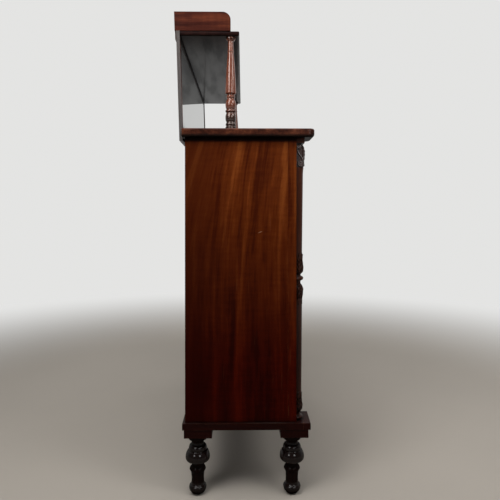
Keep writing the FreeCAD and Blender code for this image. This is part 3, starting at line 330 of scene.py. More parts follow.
    def _marks(self) -> bpy.types.NodeTree:
        """Cloudy handling marks, fine scratches and small dents.

        Returns:
            The group's tree.
        """
        gives = numbers("Cloud", "Scratch", "Dent")
        sheet, given = start_group("Handling marks", {"Vector": Kind.VECTOR}, gives)
        turned = {"Vector": given["Vector"], "Rotation": (0.5, 0.35, 0.8), "Scale": (9, 260, 9)}
        scratch = sheet.noise(sheet.value("ShaderNodeMapping", 0, turned)).ramp(0.68, 0.78)
        spots = sheet.value("ShaderNodeTexVoronoi", "Distance", {"Vector": given["Vector"], "Scale": 38.0})
        cloud = sheet.noise(given["Vector"], 6.5, 4.0, 0.6)
        return sheet.give(Cloud=cloud, Scratch=scratch, Dent=spots.ramp(0.11, 0.03))


# ---------------------------------------------------------------- finishes
def blank(name: str) -> tuple[bpy.types.Material, Sheet, bpy.types.Node]:
    """A new material with its Principled shader.

    Args:
        name: the material's name.

    Returns:
        The material, its sheet and the shader.
    """
    material = bpy.data.materials.new(name)
    material.use_nodes = True
    return material, Sheet(material.node_tree), material.node_tree.nodes["Principled BSDF"]


class Run(Enum):
    """Which way a piece's grain runs, as the turn that brings it to the pattern's Z."""

    ALONG_X = (0.0, -math.pi / 2, 0.0)
    ALONG_Y = (math.pi / 2, 0.0, 0.0)
    ALONG_Z = (0.0, 0.0, 0.0)


@dataclass(frozen=True)
class Lay:
    """How a pattern lies on one piece: the grain's run, and the figure's middle in metres if it has one.

    Within rails_within of the object's middle the grain runs along X, as on the rails of a frame.
    """

    run: Run = Run.ALONG_Z
    middle: Place | None = None
    rails_within: float = 0.0

    def placed(self, sheet: Sheet, piece: str) -> tuple[Term, Term]:
        """Coordinates for a piece's pattern.

        Args:
            sheet: the material's sheet.
            piece: the piece's name, which picks where in the timber it is cut from.

        Returns:
            Object coordinates, and those turned to the grain and moved.
        """
        raw = sheet.value("ShaderNodeTexCoord", "Object")
        if self.middle is None:
            number = zlib.crc32(piece.encode())
            shift = ((number % 97) * 0.37, (number // 97 % 89) * 0.41, (number // 8633 % 83) * 0.53)
        else:
            shift = tuple(-(Euler(self.run.value).to_matrix() @ Vector(self.middle)))
        turned = {"Vector": raw, "Location": shift, "Rotation": self.run.value}
        wood = sheet.value("ShaderNodeMapping", 0, turned)
        if self.rails_within:
            laid = sheet.value("ShaderNodeMapping", 0, turned | {"Rotation": Run.ALONG_X.value})
            between = sheet.math("LESS_THAN", abs(sheet.parts(raw)[0]), self.rails_within)
            wood = sheet.value("ShaderNodeMix", 1, {0: between, 4: wood, 5: laid}, data_type="VECTOR")
        return raw, wood


class Surface:
    """One piece's surface while its finish is laid on."""

    def __init__(self, effects: Effects, name: str, piece: str, lay: Lay) -> None:
        """Starts the material.

        Args:
            effects: the shared groups.
            name: the material's name.
            piece: the piece's name.
            lay: how the pattern lies on it.
        """
        self.effects = effects
        self.material, self.sheet, self.shader = blank(name)
        self.raw, self.wood = lay.placed(self.sheet, piece)
        self.x, self.y, self.z = self.sheet.parts(self.raw)

    def set(self, **values: object) -> None:
        """Feeds the shader's sockets, named with _ for a space."""
        for name, value in values.items():
            self.sheet.feed(self.shader.inputs[name.replace("_", " ")], value)

    def bump(self, strength: float, distance: float, height: Term, normal: Term) -> None:
        """Raises the surface by a height, over a normal."""
        sockets = {"Strength": strength, "Distance": distance, "Height": height, "Normal": normal}
        self.set(Normal=self.sheet.value("ShaderNodeBump", 0, sockets))


@dataclass(frozen=True)
class Finish:
    """What a piece's surface is made to look like."""

    prefix = ""

    def make(self, effects: Effects, piece: str, lay: Lay = Lay()) -> bpy.types.Material:
        """The finish as a material for one piece.

        Args:
            effects: the shared groups.
            piece: the piece's name.
            lay: how the grain lies on it.

        Returns:
            The material.
        """
        on = Surface(effects, self.prefix + piece, piece, lay)
        self.fill(on)
        return on.material

    def fill(self, on: Surface) -> None:
        """Lays the finish on a surface."""
        raise NotImplementedError


@dataclass(frozen=True)
class Timber(Finish):
    """Polished or plain timber.

    Colours are linear, amounts run from 0 to 1, and places are in metres. Only arris and hollow_reach are
    in millimetres.
    """

    pale: Colour
    middle: Colour
    deep: Colour
    ribbon: float = 1.2  # contrast of the broad bands
    streak: float = 0.5  # contrast of the fine ones
    pores: float = 0.6
    figure: float = 0.0  # contrast of the flame figure
    sweep: float = 0.0  # how far the bands lean aside as they rise
    rough: float = 0.3
    coat: float = 0.35
    coat_rough: float = 0.16
    specular: float = 0.35
    sheen_tint: Colour = (1.0, 1.0, 1.0)
    relief: float = 0.25
    arris: float = 1.2  # the radius that sharp edges look rounded to
    hollow_reach: float = 9.0  # how near its own walls a hollow takes dirt and painted shade
    wear: float = 0.35
    worn: Colour = (0.30, 0.13, 0.06)
    grime: float = 0.8  # dirt and painted shade in hollows
    corner: float = 0.85  # dirt and painted shade where pieces meet
    dust: float = 0.12
    foot_shade: Colour | None = None  # painted shade: the tint that it darkens by towards the floor
    dark_band: Span | None = None  # painted shade: the heights between which it turns black
    back_edge: float = 0.0  # the Y that it darkens towards
    inner_face: float = 0.0  # the X of a face that is bare, nearer the middle
    outer_face: float = 0.0  # the X of a face farther out that is painted greyer, for dust and a painted sheen
    under: Colour | None = None  # painted shade: the colour that faces looking down take
    under_coat: float = 0.0
    board_pitch: float = 0.0  # the width of boards side by side along X
    board_start: float = 0.0
    dovetails: bool = False
    scuff: Span | None = None  # the Y and Z of a rubbed mark on the left
    polished: tuple[Span, ...] = ()  # the heights that keep their polish, where the rest is dull

    prefix = "timber_"
    # Metres, from where a change starts to where it is whole.
    SHADE_HEIGHTS = (1.12, 0.36)
    BACK_REACH = (-0.13, 0.05)
    JOINT = (0.0035, 0.0006)
    PIN_LINE = (0.0006, 0.0002)
    POLISH_FADE = (0.004, -0.004)
    GROOVE = 0.0004  # metres that the relief is deep
    # Painted shade: the black that the shade bands turn to.
    BLACK = (0.001, 0.0004, 0.0003)
    # Dirt together with painted shade in hollows and corners darkens towards this.
    DIRT = (0.004, 0.0015, 0.001)
    DUST = (0.36, 0.33, 0.30)
    RUBBED = (0.25, 0.13, 0.08)
    PIN_WOOD = (0.110, 0.026, 0.008)
    BARE = ((0.10, 0.05, 0.026), (0.2, 0.11, 0.055))
    # Painted sheen with dust: a grey for the mirror frame's outer face.
    GREYED = ((0.075, 0.062, 0.060), (0.15, 0.135, 0.13))
    # How much grain, handling, dirt and dust add to the roughness.
    GRAIN_ROUGH, CLOUD_ROUGH, DIRT_ROUGH, DUST_ROUGH = 0.12, 0.22, 0.25, 0.9
    SCRATCH = 0.10

    def boards(self, on: Surface) -> tuple[Term, Term]:
        """Boards laid side by side.

        Args:
            on: the surface.

        Returns:
            The grain's coordinates, moved for each board, and how dark each board and its joints are.
        """
        along = (on.x - self.board_start) / self.board_pitch
        number = {"W": on.sheet.math("FLOOR", along)}
        own = on.sheet.values("ShaderNodeTexWhiteNoise", number, noise_dimensions="1D")
        joint = on.sheet.math("PINGPONG", along, 0.5) * self.board_pitch
        shade = own["Value"] * 0.35 + joint.ramp(*self.JOINT, 0.0, 0.9)
        return on.wood + own["Color"] * (9, 9, 9), shade

    def dovetailed(self, on: Surface, colour: Term) -> Term:
        """A drawer's side where the front's pins show between its tails.

        Args:
            on: the surface.
            colour: the side's own colour.

        Returns:
            The colour with the pins and the line behind them.
        """
        front, back, first, half_pitch = -0.1458, -0.1338, 1.0223, 0.0115
        narrow, widens, line_off = 0.0016, 0.0024, 0.0003
        half = on.y.ramp(front, back) * widens + narrow
        row = on.sheet.math("PINGPONG", on.z - first, half_pitch)
        pin = on.sheet.math("LESS_THAN", half_pitch - row, half) * on.sheet.math("LESS_THAN", on.y, back)
        line = abs(on.y - (back + line_off)).ramp(*self.PIN_LINE, 0.0, 0.6)
        return on.sheet.mix(line, on.sheet.mix(pin, colour, self.PIN_WOOD), self.deep)

    def scuffed(self, on: Surface) -> Term:
        """The mask of a small slanting rub.

        Args:
            on: the surface.

        Returns:
            The mask.
        """
        half_length, half_height, slope = 0.009, 0.0022, 0.35
        over = on.y - self.scuff[0]
        up = over * slope + (on.z - self.scuff[1])
        gap = on.sheet.measure("LENGTH", on.sheet.joined(over / half_length, up / half_height))
        ragged = on.sheet.noise(on.raw, 260.0) * 1.1 + gap
        return ragged.ramp(1.5, 0.9) * on.sheet.math("LESS_THAN", on.x, 0.0)

    def aged(self, on: Surface, colour: Term, streaky: Term) -> Term:
        """The colour with painted shade towards the floor and in bands, a darker back edge, a rub, and bare
        and greyed faces.

        Args:
            on: the surface.
            colour: the timber's own colour.
            streaky: a number that follows the fine grain, about 0.5.

        Returns:
            The colour.
        """
        if self.back_edge:
            uneven = on.sheet.noise(on.raw, 5.0) * 0.1 + on.y
            darker = uneven.ramp(*(self.back_edge + step for step in self.BACK_REACH), 0.0, 0.75)
            colour = on.sheet.mix(darker, colour, self.deep)
        # Painted shade: darker towards the floor, as the light falls off.
        if self.foot_shade:
            colour = on.sheet.mix(on.z.ramp(*self.SHADE_HEIGHTS), colour, self.foot_shade, "MULTIPLY")
        # Painted shade: black between two heights, standing for shadow.
        if self.dark_band:
            colour = on.sheet.mix(on.z.ramp(*self.dark_band, 0.0, 0.92), colour, self.BLACK)
        if self.scuff:
            colour = on.sheet.mix(self.scuffed(on), colour, self.RUBBED)
        # The inner face goes bare; the outer face is painted greyer, for dust and a painted sheen.
        for face, blend, tones in ((self.inner_face, MM, self.BARE), (self.outer_face, -MM, self.GREYED)):
            if face:
                there = abs(on.x).ramp(face + blend, face)
                colour = on.sheet.mix(there, colour, on.sheet.mix(streaky, *tones))
        return colour

    def kept(self, on: Surface) -> Term:
        """How much of the polish is left at each height, where only some heights keep it.

        Args:
            on: the surface.

        Returns:
            The share.
        """
        bright, dull = 0.0, 0.2
        for low, high in self.polished:
            off = abs(on.z - (low + high) / 2)
            fade = off.ramp(*((high - low) / 2 + step for step in self.POLISH_FADE))
            bright = on.sheet.math("MAXIMUM", bright, fade)
        return bright * (1.0 - dull) + dull

    def polish(self, on: Surface, dirty: Term, down: Term, mottled: Term | None) -> Term:
        """How much polish is left.

        Args:
            on: the surface.
            dirty: how much of it soiling and painted shade in hollows and corners take.
            down: the mask of what faces down.
            mottled: the patches of what faces down, where those faces take a painted shade colour.

        Returns:
            The weight of the shader's coat.
        """
        bare = 1.0 - dirty
        if self.polished:
            bare = bare * self.kept(on)
        polish = bare * self.coat
        if mottled:
            waxed = mottled * (-0.45 * self.under_coat) + self.under_coat
            polish = polish + down * (waxed - polish)
        return polish

    def fill(self, on: Surface) -> None:
        """Lays the timber and its polish on a surface.

        Args:
            on: the surface.
        """
        sheet, wood, mottled = on.sheet, on.wood, None
        if self.board_pitch:
            wood, shade = self.boards(on)
        grain = sheet.use(on.effects.grain, Vector=wood, Pale=self.pale, Middle=self.middle, Deep=self.deep,
                          Ribbon=self.ribbon, Streak=self.streak, Pores=self.pores, Figure=self.figure,
                          Sweep=self.sweep)
        edges = sheet.use(on.effects.edges, Radius=self.arris * MM, Reach=self.hollow_reach * MM,
                          Vector=on.raw)
        dust = sheet.use(on.effects.dust, Vector=on.raw)
        marks = sheet.use(on.effects.marks, Vector=on.raw)
        colour = grain["Color"]
        if self.board_pitch:
            colour = sheet.mix(shade, colour, self.deep)
        if self.dovetails:
            colour = self.dovetailed(on, colour)
        colour = self.aged(on, colour, grain["Sheen"] + 0.5)
        # Hollows and corners take dirt together with painted shade.
        held = edges["Hollow"] * self.grime
        # Painted shade: faces that look down take a darker colour.
        if self.under:
            mottled = sheet.noise(wood * (22, 22, 4), 1.0, 5.0, 0.65).ramp(0.38, 0.66)
            underside_shade_tone = sheet.mix(mottled, self.under, tuple(c * 0.3 for c in self.under))
            colour = sheet.mix(dust["Under"], colour, underside_shade_tone)
        if self.coat:
            dirty = sheet.math("MAXIMUM", edges["Corner"], held)
            on.set(Coat_Weight=self.polish(on, dirty, dust["Under"], mottled))
        colour = sheet.mix(edges["Wear"] * self.wear, colour, self.worn)
        # Dirt and painted shade darken hollows and corners.
        dirt_and_shade = sheet.math("MAXIMUM", held, edges["Corner"] * self.corner)
        colour = sheet.mix(dirt_and_shade, colour, self.DIRT)
        colour = sheet.mix(marks["Scratch"] * self.SCRATCH, colour, self.worn)
        settled = dust["Settled"] * self.dust
        rough = grain["Sheen"] * self.GRAIN_ROUGH + self.rough
        rough = rough + (marks["Cloud"] - 0.5) * self.CLOUD_ROUGH + dirt_and_shade * self.DIRT_ROUGH
        rough = (settled * self.DUST_ROUGH + rough).held()
        if self.under:
            rough = sheet.math("MAXIMUM", rough, dust["Under"] * 0.5)
        on.set(Base_Color=sheet.mix(settled, colour, self.DUST), Roughness=rough)
        on.bump(self.relief, self.GROOVE, marks["Dent"] * -0.6 + grain["Height"], edges["Normal"])
        on.set(Coat_Roughness=self.coat_rough, Specular_IOR_Level=self.specular)
        on.set(Specular_Tint=self.sheen_tint)


@dataclass(frozen=True)
class Metal(Finish):
    """Old metal: its record's slot, bright colour and tarnish, and how much of it is tarnished."""

    slot: str
    bright: Colour
    tarnish: Colour
    cover: float = 0.5
    rough: float = 0.32
    arris: float = 0.5  # millimetres

    prefix = "metal_"
    HOLLOW_REACH = 0.004  # metres
    PIT = 0.0002
    FILM = (0.72, 0.95)  # from bright to tarnished, on bare metal

    def fill(self, on: Surface) -> None:
        """Lays the metal on a surface.

        Args:
            on: the surface.
        """
        sheet, raw = on.sheet, on.raw
        edges = sheet.use(on.effects.edges, Radius=self.arris * MM, Reach=self.HOLLOW_REACH, Vector=raw)
        marks = sheet.use(on.effects.marks, Vector=raw * (5, 5, 5))
        film = sheet.noise(raw, 130.0, 4.0, 0.65).ramp(*(end - self.cover * 0.5 for end in self.FILM))
        film = (sheet.math("MAXIMUM", film, edges["Hollow"]) - edges["Wear"] * 0.7).held()
        rough = (marks["Scratch"] * 0.1 + (film * 0.25 + self.rough)).held()
        on.set(Base_Color=sheet.mix(film, self.bright, self.tarnish), Roughness=rough, Metallic=1.0)
        on.bump(0.2, self.PIT, marks["Scratch"] * -0.5 + sheet.noise(raw, 900.0), edges["Normal"])


@dataclass(frozen=True)
class SilveredPlate(Finish):
    """Old silvered glass, clouded and spotted along its edges. Sizes are in metres."""

    silver: Colour = (0.80, 0.81, 0.80)
    hazed: Colour = (0.55, 0.54, 0.5)
    spot: Colour = (0.10, 0.085, 0.07)
    half_width: float = 0.485
    low: float = 1.1455
    high: float = 1.429
    rim: float = 0.05

    prefix = "plate_"
    ROUGH = 0.025

    def fill(self, on: Surface) -> None:
        """Lays the silvering on a surface.

        Args:
            on: the surface.
        """
        sheet, raw = on.sheet, on.raw
        marks = sheet.use(on.effects.marks, Vector=raw)
        inside = sheet.math("MINIMUM", on.z - self.low, self.high - on.z)
        inside = sheet.math("MINIMUM", self.half_width - abs(on.x), inside)
        spots = (inside.ramp(self.rim, 0.0) * 0.22 + sheet.noise(raw, 210.0, 4.0, 0.7)).ramp(0.68, 0.76)
        haze = sheet.noise(raw, 14.0, 4.0, 0.6).ramp(0.5, 0.8)
        silver = sheet.mix(haze * 0.12, self.silver, self.hazed)
        rough = haze * marks["Cloud"] * 0.05 + (spots * 0.35 + self.ROUGH)
        on.set(Base_Color=sheet.mix(spots, silver, self.spot), Roughness=rough, Metallic=1.0)


BOARD_PITCH = 143.8
BOARD_START = -503.0
# Painted shade: the case timber darkens towards the floor.
CASE = Timber(pale=(0.240, 0.062, 0.012), middle=(0.135, 0.026, 0.004), deep=(0.052, 0.009, 0.002),
              foot_shade=(0.50, 0.26, 0.22), rough=0.42, coat=0.02, specular=0.04, ribbon=1.5)
# Painted shade on the side and the stile: darker towards the floor, and black in a band under the top's
# overhang.
SIDE = Timber(pale=(0.240, 0.060, 0.011), middle=(0.125, 0.024, 0.004), deep=(0.058, 0.009, 0.002),
              foot_shade=(0.27, 0.07, 0.03), rough=0.42, coat=0.01, specular=0.02, ribbon=1.7, streak=0.35,
              corner=1.0, sweep=0.30, back_edge=0.182, inner_face=0.4955, scuff=(-0.050, 0.823),
              dark_band=(1.097, 1.107))
STILE = replace(SIDE, sweep=0.0, back_edge=0.0, inner_face=0.0, scuff=None)
# Painted shade: the figured panels darken a little towards the floor.
FIGURED = Timber(pale=(0.330, 0.098, 0.022), middle=(0.160, 0.036, 0.007), deep=(0.045, 0.009, 0.003),
                 ribbon=0.5, figure=1.9, rough=0.3, coat=0.06, specular=0.05, foot_shade=(0.75, 0.6, 0.5))
FOOT = Timber(pale=(0.014, 0.005, 0.004), middle=(0.006, 0.0022, 0.0016), deep=(0.002, 0.0012, 0.001),
              ribbon=0.7, streak=0.6, rough=0.2, coat=0.42, coat_rough=0.1, specular=0.0, arris=0.6,
              hollow_reach=14.0, wear=0.05, dust=0.04, polished=((-0.01, 0.037), (0.104, 0.162)))
# Painted shade: the post's lower turnings go near black.
POST = Timber(pale=(0.300, 0.085, 0.042), middle=(0.160, 0.038, 0.017), deep=(0.055, 0.010, 0.005),
              ribbon=0.8, streak=0.6, rough=0.26, coat=0.75, coat_rough=0.13, specular=0.5,
              sheen_tint=(1.0, 0.66, 0.52), arris=0.6, hollow_reach=16.0, grime=1.0, corner=0.8,
              dark_band=(1.230, 1.172))
# Painted shade: carved work darkens towards the floor, and the corbel keeps this.
CARVED = Timber(pale=(0.135, 0.041, 0.023), middle=(0.071, 0.020, 0.010), deep=(0.022, 0.006, 0.004),
                ribbon=0.7, streak=0.5, rough=0.26, coat=0.16, specular=0.04, foot_shade=(0.45, 0.4, 0.4),
                arris=0.6, hollow_reach=10.0, grime=1.0)
CORBEL = replace(CARVED, pale=(0.085, 0.027, 0.016), middle=(0.042, 0.012, 0.007), coat=0.7, coat_rough=0.2,
                 specular=0.3, hollow_reach=9.0)
# Painted shade on the top: black at its lower edge, and near black on faces that look down.
TOP = Timber(pale=(0.150, 0.046, 0.022), middle=(0.064, 0.017, 0.009), deep=(0.018, 0.005, 0.003), ribbon=1.5,
             rough=0.28, coat=0.13, specular=0.05, wear=0.3, under=(0.006, 0.004, 0.003),
             dark_band=(1.127, 1.115))
DARK = Timber(pale=(0.040, 0.006, 0.003), middle=(0.016, 0.002, 0.001), deep=(0.006, 0.001, 0.001),
              ribbon=0.9, rough=0.36, coat=0.02, specular=0.04, dust=0.04)
SIDE_GALLERY = Timber(pale=(0.145, 0.036, 0.016), middle=(0.064, 0.014, 0.008), deep=(0.024, 0.005, 0.003),
                      ribbon=1.7, rough=0.36, coat=0.04, specular=0.06, dust=0.2)
# Painted shade: black at the rail under the shelf; a painted sheen with dust greys the outer face.
MIRROR_FRAME = replace(SIDE_GALLERY, outer_face=0.4995, dark_band=(1.395, 1.425))
# Painted shade: the shelf's timber takes near-black tones, and faces that look down a dark greyish one.
SHELF = Timber(pale=(0.034, 0.012, 0.009), middle=(0.016, 0.005, 0.004), deep=(0.007, 0.002, 0.002),
               ribbon=1.2, rough=0.4, coat=0.02, specular=0.04, dust=0.03, wear=0.2,
               under=(0.022, 0.018, 0.016), under_coat=0.35)
SECONDARY = Timber(pale=(0.230, 0.125, 0.060), middle=(0.140, 0.070, 0.034), deep=(0.052, 0.025, 0.013),
                   ribbon=0.9, streak=0.9, rough=0.62, coat=0.0, specular=0.15, wear=0.2, dust=0.3,
                   relief=0.5)
BACKING = replace(SECONDARY, board_pitch=BOARD_PITCH * MM, board_start=BOARD_START * MM)
DRAWER_SIDE = replace(SECONDARY, dovetails=True)
BRASS = Metal("brass_old", bright=(0.62, 0.42, 0.16), tarnish=(0.16, 0.10, 0.045))
STEEL = Metal("steel_old", bright=(0.30, 0.28, 0.26), tarnish=(0.070, 0.045, 0.030), cover=0.7, rough=0.42)
PLATE = SilveredPlate()

X, Y, Z = Lay(Run.ALONG_X), Lay(Run.ALONG_Y), Lay(Run.ALONG_Z)
DRESSINGS: tuple[tuple[Finish, Lay, str], ...] = (
    (FOOT, Z, "foot_"),
    (DARK, X, "plinth_end_pieces"),
    (DARK, Y, "foot_blocks plinth_board"),
    (SIDE, Lay(middle=(-0.504, 0.02, 0.68)), "side_panel"),
    (STILE, Z, "stile"),
    (CARVED, X, "corbel_blocks"),
    (CARVED, Z, "half_column corbel"),
    (TOP, X, "top_board"),
    (CASE, X, "drawer_rail bottom_board door_left_rails door_right_rails"),
    (CASE, Z, "door_left_stiles door_right_stiles door_left_moulding door_right_moulding meeting_bead"),
    (FIGURED, Lay(Run.ALONG_X, (0.0, -0.16, 1.07)), "drawer_front"),
    (FIGURED, Lay(middle=(-0.226, -0.147, 0.62)), "door_left_panel"),
    (FIGURED, Lay(middle=(0.226, -0.147, 0.62)), "door_right_panel"),
    (POST, Z, "post_"),
    (SHELF, X, "gallery_shelf"),
    (SIDE_GALLERY, X, "gallery_back"),
    (SIDE_GALLERY, Y, "gallery_side"),
    (MIRROR_FRAME, Lay(rails_within=0.4849), "mirror_frame"),
    (PLATE, Z, "mirror_glass"),
    (BRASS, Z, "door_left_bolt door_left_hinge_leaves door_right_hinge_leaves hinge_plates lock_ escutcheon"),
    (STEEL, Z, "door_key fixing_screws"),
    (BACKING, Z, "back_boards"),
    (DRAWER_SIDE, Y, "drawer_side"),
    (SECONDARY, X, "drawer_back drawer_bottom"),
    (SECONDARY, Y, "drawer_"),
)


@dataclass
class Joinery:
    """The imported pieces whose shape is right: each gets its own cut of its finish."""

    nodes: dict[str, bpy.types.Object]
    effects: Effects

    def chosen(self, name: str) -> tuple[Finish, Lay]:
        """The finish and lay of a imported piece, by the longest start that fits its name.

        Args:
            name: the piece's name.

        Returns:
            Its finish and lay, which are those of the inner boards if no start fits.
        """
        rows = [(len(start), finish, lay) for finish, lay, starts in DRESSINGS
                for start in starts.split() if name.startswith(start)]
        return max(rows, key=lambda row: row[0], default=(0, SECONDARY, X))[1:]

    def dress(self) -> None:
        """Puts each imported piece's finish in its material slots."""
        for name, node in sorted(self.nodes.items()):
            finish, lay = self.chosen(name)
            material = finish.make(self.effects, name, lay)
            if not node.material_slots:
                node.data.materials.append(None)
            for slot in node.material_slots:
                slot.material = material
            log.info("packed piece %s takes %s", name, type(finish).__name__)


# ---------------------------------------------------------------- meshes
def new_piece(name: str, mesh: bpy.types.Mesh, body: str) -> bpy.types.Object:
    """A finished mesh as a piece that rides on a body.

    Args:
        name: the piece's name.
        mesh: its mesh, in metres in the object's frame.
        body: the body it moves with.

    Returns:
        The object.
    """
    piece = bpy.data.objects.new(name, mesh)
    bpy.context.scene.collection.objects.link(piece)
    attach(piece, body)
    log.info("piece %s: %d faces, on %s", name, len(mesh.polygons), body)
    return piece


def ringed_mesh(name: str, rows: np.ndarray, crease: float = 40.0) -> bpy.types.Mesh:
    """A closed skin over stacked rings of points.

    Args:
        name: the mesh's name.
        rows: points in millimetres, by ring, place in the ring, and axis.
        crease: the angle in degrees past which an edge stays sharp.

    Returns:
        The mesh, in metres, with both ends capped and its faces outwards.
    """
    count, around = rows.shape[:2]
    index = np.arange(count * around).reshape(count, around)
    after = np.roll(index, -1, axis=1)
    quads = np.stack([index[:-1], after[:-1], after[1:], index[1:]], axis=-1).reshape(-1, 4)
    faces = quads.tolist() + [index[0][::-1].tolist(), index[-1].tolist()]
    mesh = bpy.data.meshes.new(name)
    mesh.from_pydata((rows.reshape(-1, 3) * MM).tolist(), [], faces)
    shell = bmesh.new()
    shell.from_mesh(mesh)
    bmesh.ops.remove_doubles(shell, verts=shell.verts, dist=1e-6)
    bmesh.ops.recalc_face_normals(shell, faces=shell.faces)
    shell.to_mesh(mesh)
    shell.free()
    mesh.shade_smooth()
    mesh.set_sharp_from_angle(angle=math.radians(crease))
    return mesh


@dataclass(frozen=True)
class Turning:
    """A turned outline. Each step is its rise, its end radius and its bulge, in millimetres."""

    start_z: float
    start_radius: float
    steps: tuple[tuple[float, float, float], ...]

    def outline(self, fine: float, long_step: float = 60.0,
                long_count: int = 12) -> tuple[np.ndarray, np.ndarray]:
        """The outline as points.

        Args:
            fine: the spacing of the points, in millimetres.
            long_step: the length past which a straight step has few points.
            long_count: how many those are.

        Returns:
            Heights and radii.
        """
        z, radius = self.start_z, self.start_radius
        heights, radii = [z], [radius]
        for rise, end, bulge in self.steps:
            length = math.hypot(rise, end - radius)
            count = long_count if length > long_step and not bulge else max(2, round(length / fine))
            t = np.arange(1, count + 1) / count
            swell = 4 * bulge * t * (1 - t) / length
            heights += list(z + rise * t - swell * (end - radius))
            radii += list(radius + (end - radius) * t + swell * rise)
            z, radius = z + rise, end
        return np.array(heights), np.array(radii)


def risen(steps: list[tuple[float, float, float]]) -> float:
    """How high some steps of a turning go together."""
    return sum(step[0] for step in steps)


def dome(distance: np.ndarray, radius: np.ndarray | float) -> np.ndarray:
    """A round rise from 0 at a radius to 1 in the middle."""
    return np.clip(1.0 - (distance / radius) ** 2, 0.0, 1.0) ** 0.5


@dataclass(frozen=True)
class Leaf:
    """A carved leaf in low relief: a midrib with paired lobes that rise and curl from it."""

    width: float
    length: float
    lobes: int = 4

    def lobe(self, x: np.ndarray, y: np.ndarray, root: Span, end: Span, radii: Span) -> np.ndarray:
        """One rounded, tapering lobe with a groove down its middle.

        Args:
            x: distance across from the midrib, in millimetres.
            y: distance along from the leaf's foot.
            root: where the lobe starts.
            end: where it ends.
            radii: its half width at the root and at the end.

        Returns:
            Heights from 0 to 1.
        """
        along = np.array(end) - np.array(root)
        t = np.clip(((x - root[0]) * along[0] + (y - root[1]) * along[1]) / (along @ along), 0.0, 1.0)
        gap = np.hypot(x - root[0] - t * along[0], y - root[1] - t * along[1])
        radius = radii[0] + (radii[1] - radii[0]) * t
        return dome(gap, radius) * (1.0 - 0.22 * np.exp(-((gap / (0.22 * radius)) ** 2)))

    def relief(self, x: np.ndarray, y: np.ndarray) -> np.ndarray:
        """The leaf's height over its ground.

        Args:
            x: distance across from the midrib, in millimetres.
            y: distance along from the leaf's foot.

        Returns:
            Heights from 0 to 1.
        """
        half = self.width / 2
        x = np.abs(x)
        midrib = ((0.0, 0.02 * self.length), (0.0, 0.93 * self.length), (0.30 * half, 0.20 * half))
        height = self.lobe(x, y, *midrib)
        for k in range(self.lobes):
            share = k / (self.lobes - 1)
            root = (0.0, self.length * (0.03 + 0.58 * share))
            end = (half * (0.80 - 0.34 * share), root[1] + self.length * (0.13 + 0.07 * share))
            lobe = self.lobe(x, y, root, end, (0.10 * half, half * (0.30 - 0.06 * share)))
            height = np.maximum(height, (1.0 - 0.12 * share) * lobe)
        return height


@dataclass
class Carving:
    """A carved piece on the face of a stile, in place of a plain one. Sizes are in millimetres."""

    hand: int
    axis_x: float = 483.0
    face_y: float = -161.82

    @property
    def side(self) -> str:
        """The end of the case that it is at."""
        return "left" if self.hand < 0 else "right"

    def mesh(self) -> bpy.types.Mesh:
        """The piece as one closed carved skin."""
        raise NotImplementedError

    def carved(self, name: str, finish: Timber, effects: Effects) -> bpy.types.Object:
        """Makes and dresses the piece.

        Args:
            name: the start of its name.
            finish: its finish.
            effects: the shared groups.

        Returns:
            The object.
        """
        piece = new_piece(f"{name}_{self.side}", self.mesh(), "carcass")
        piece.data.materials.append(finish.make(effects, piece.name, Z))
        return piece


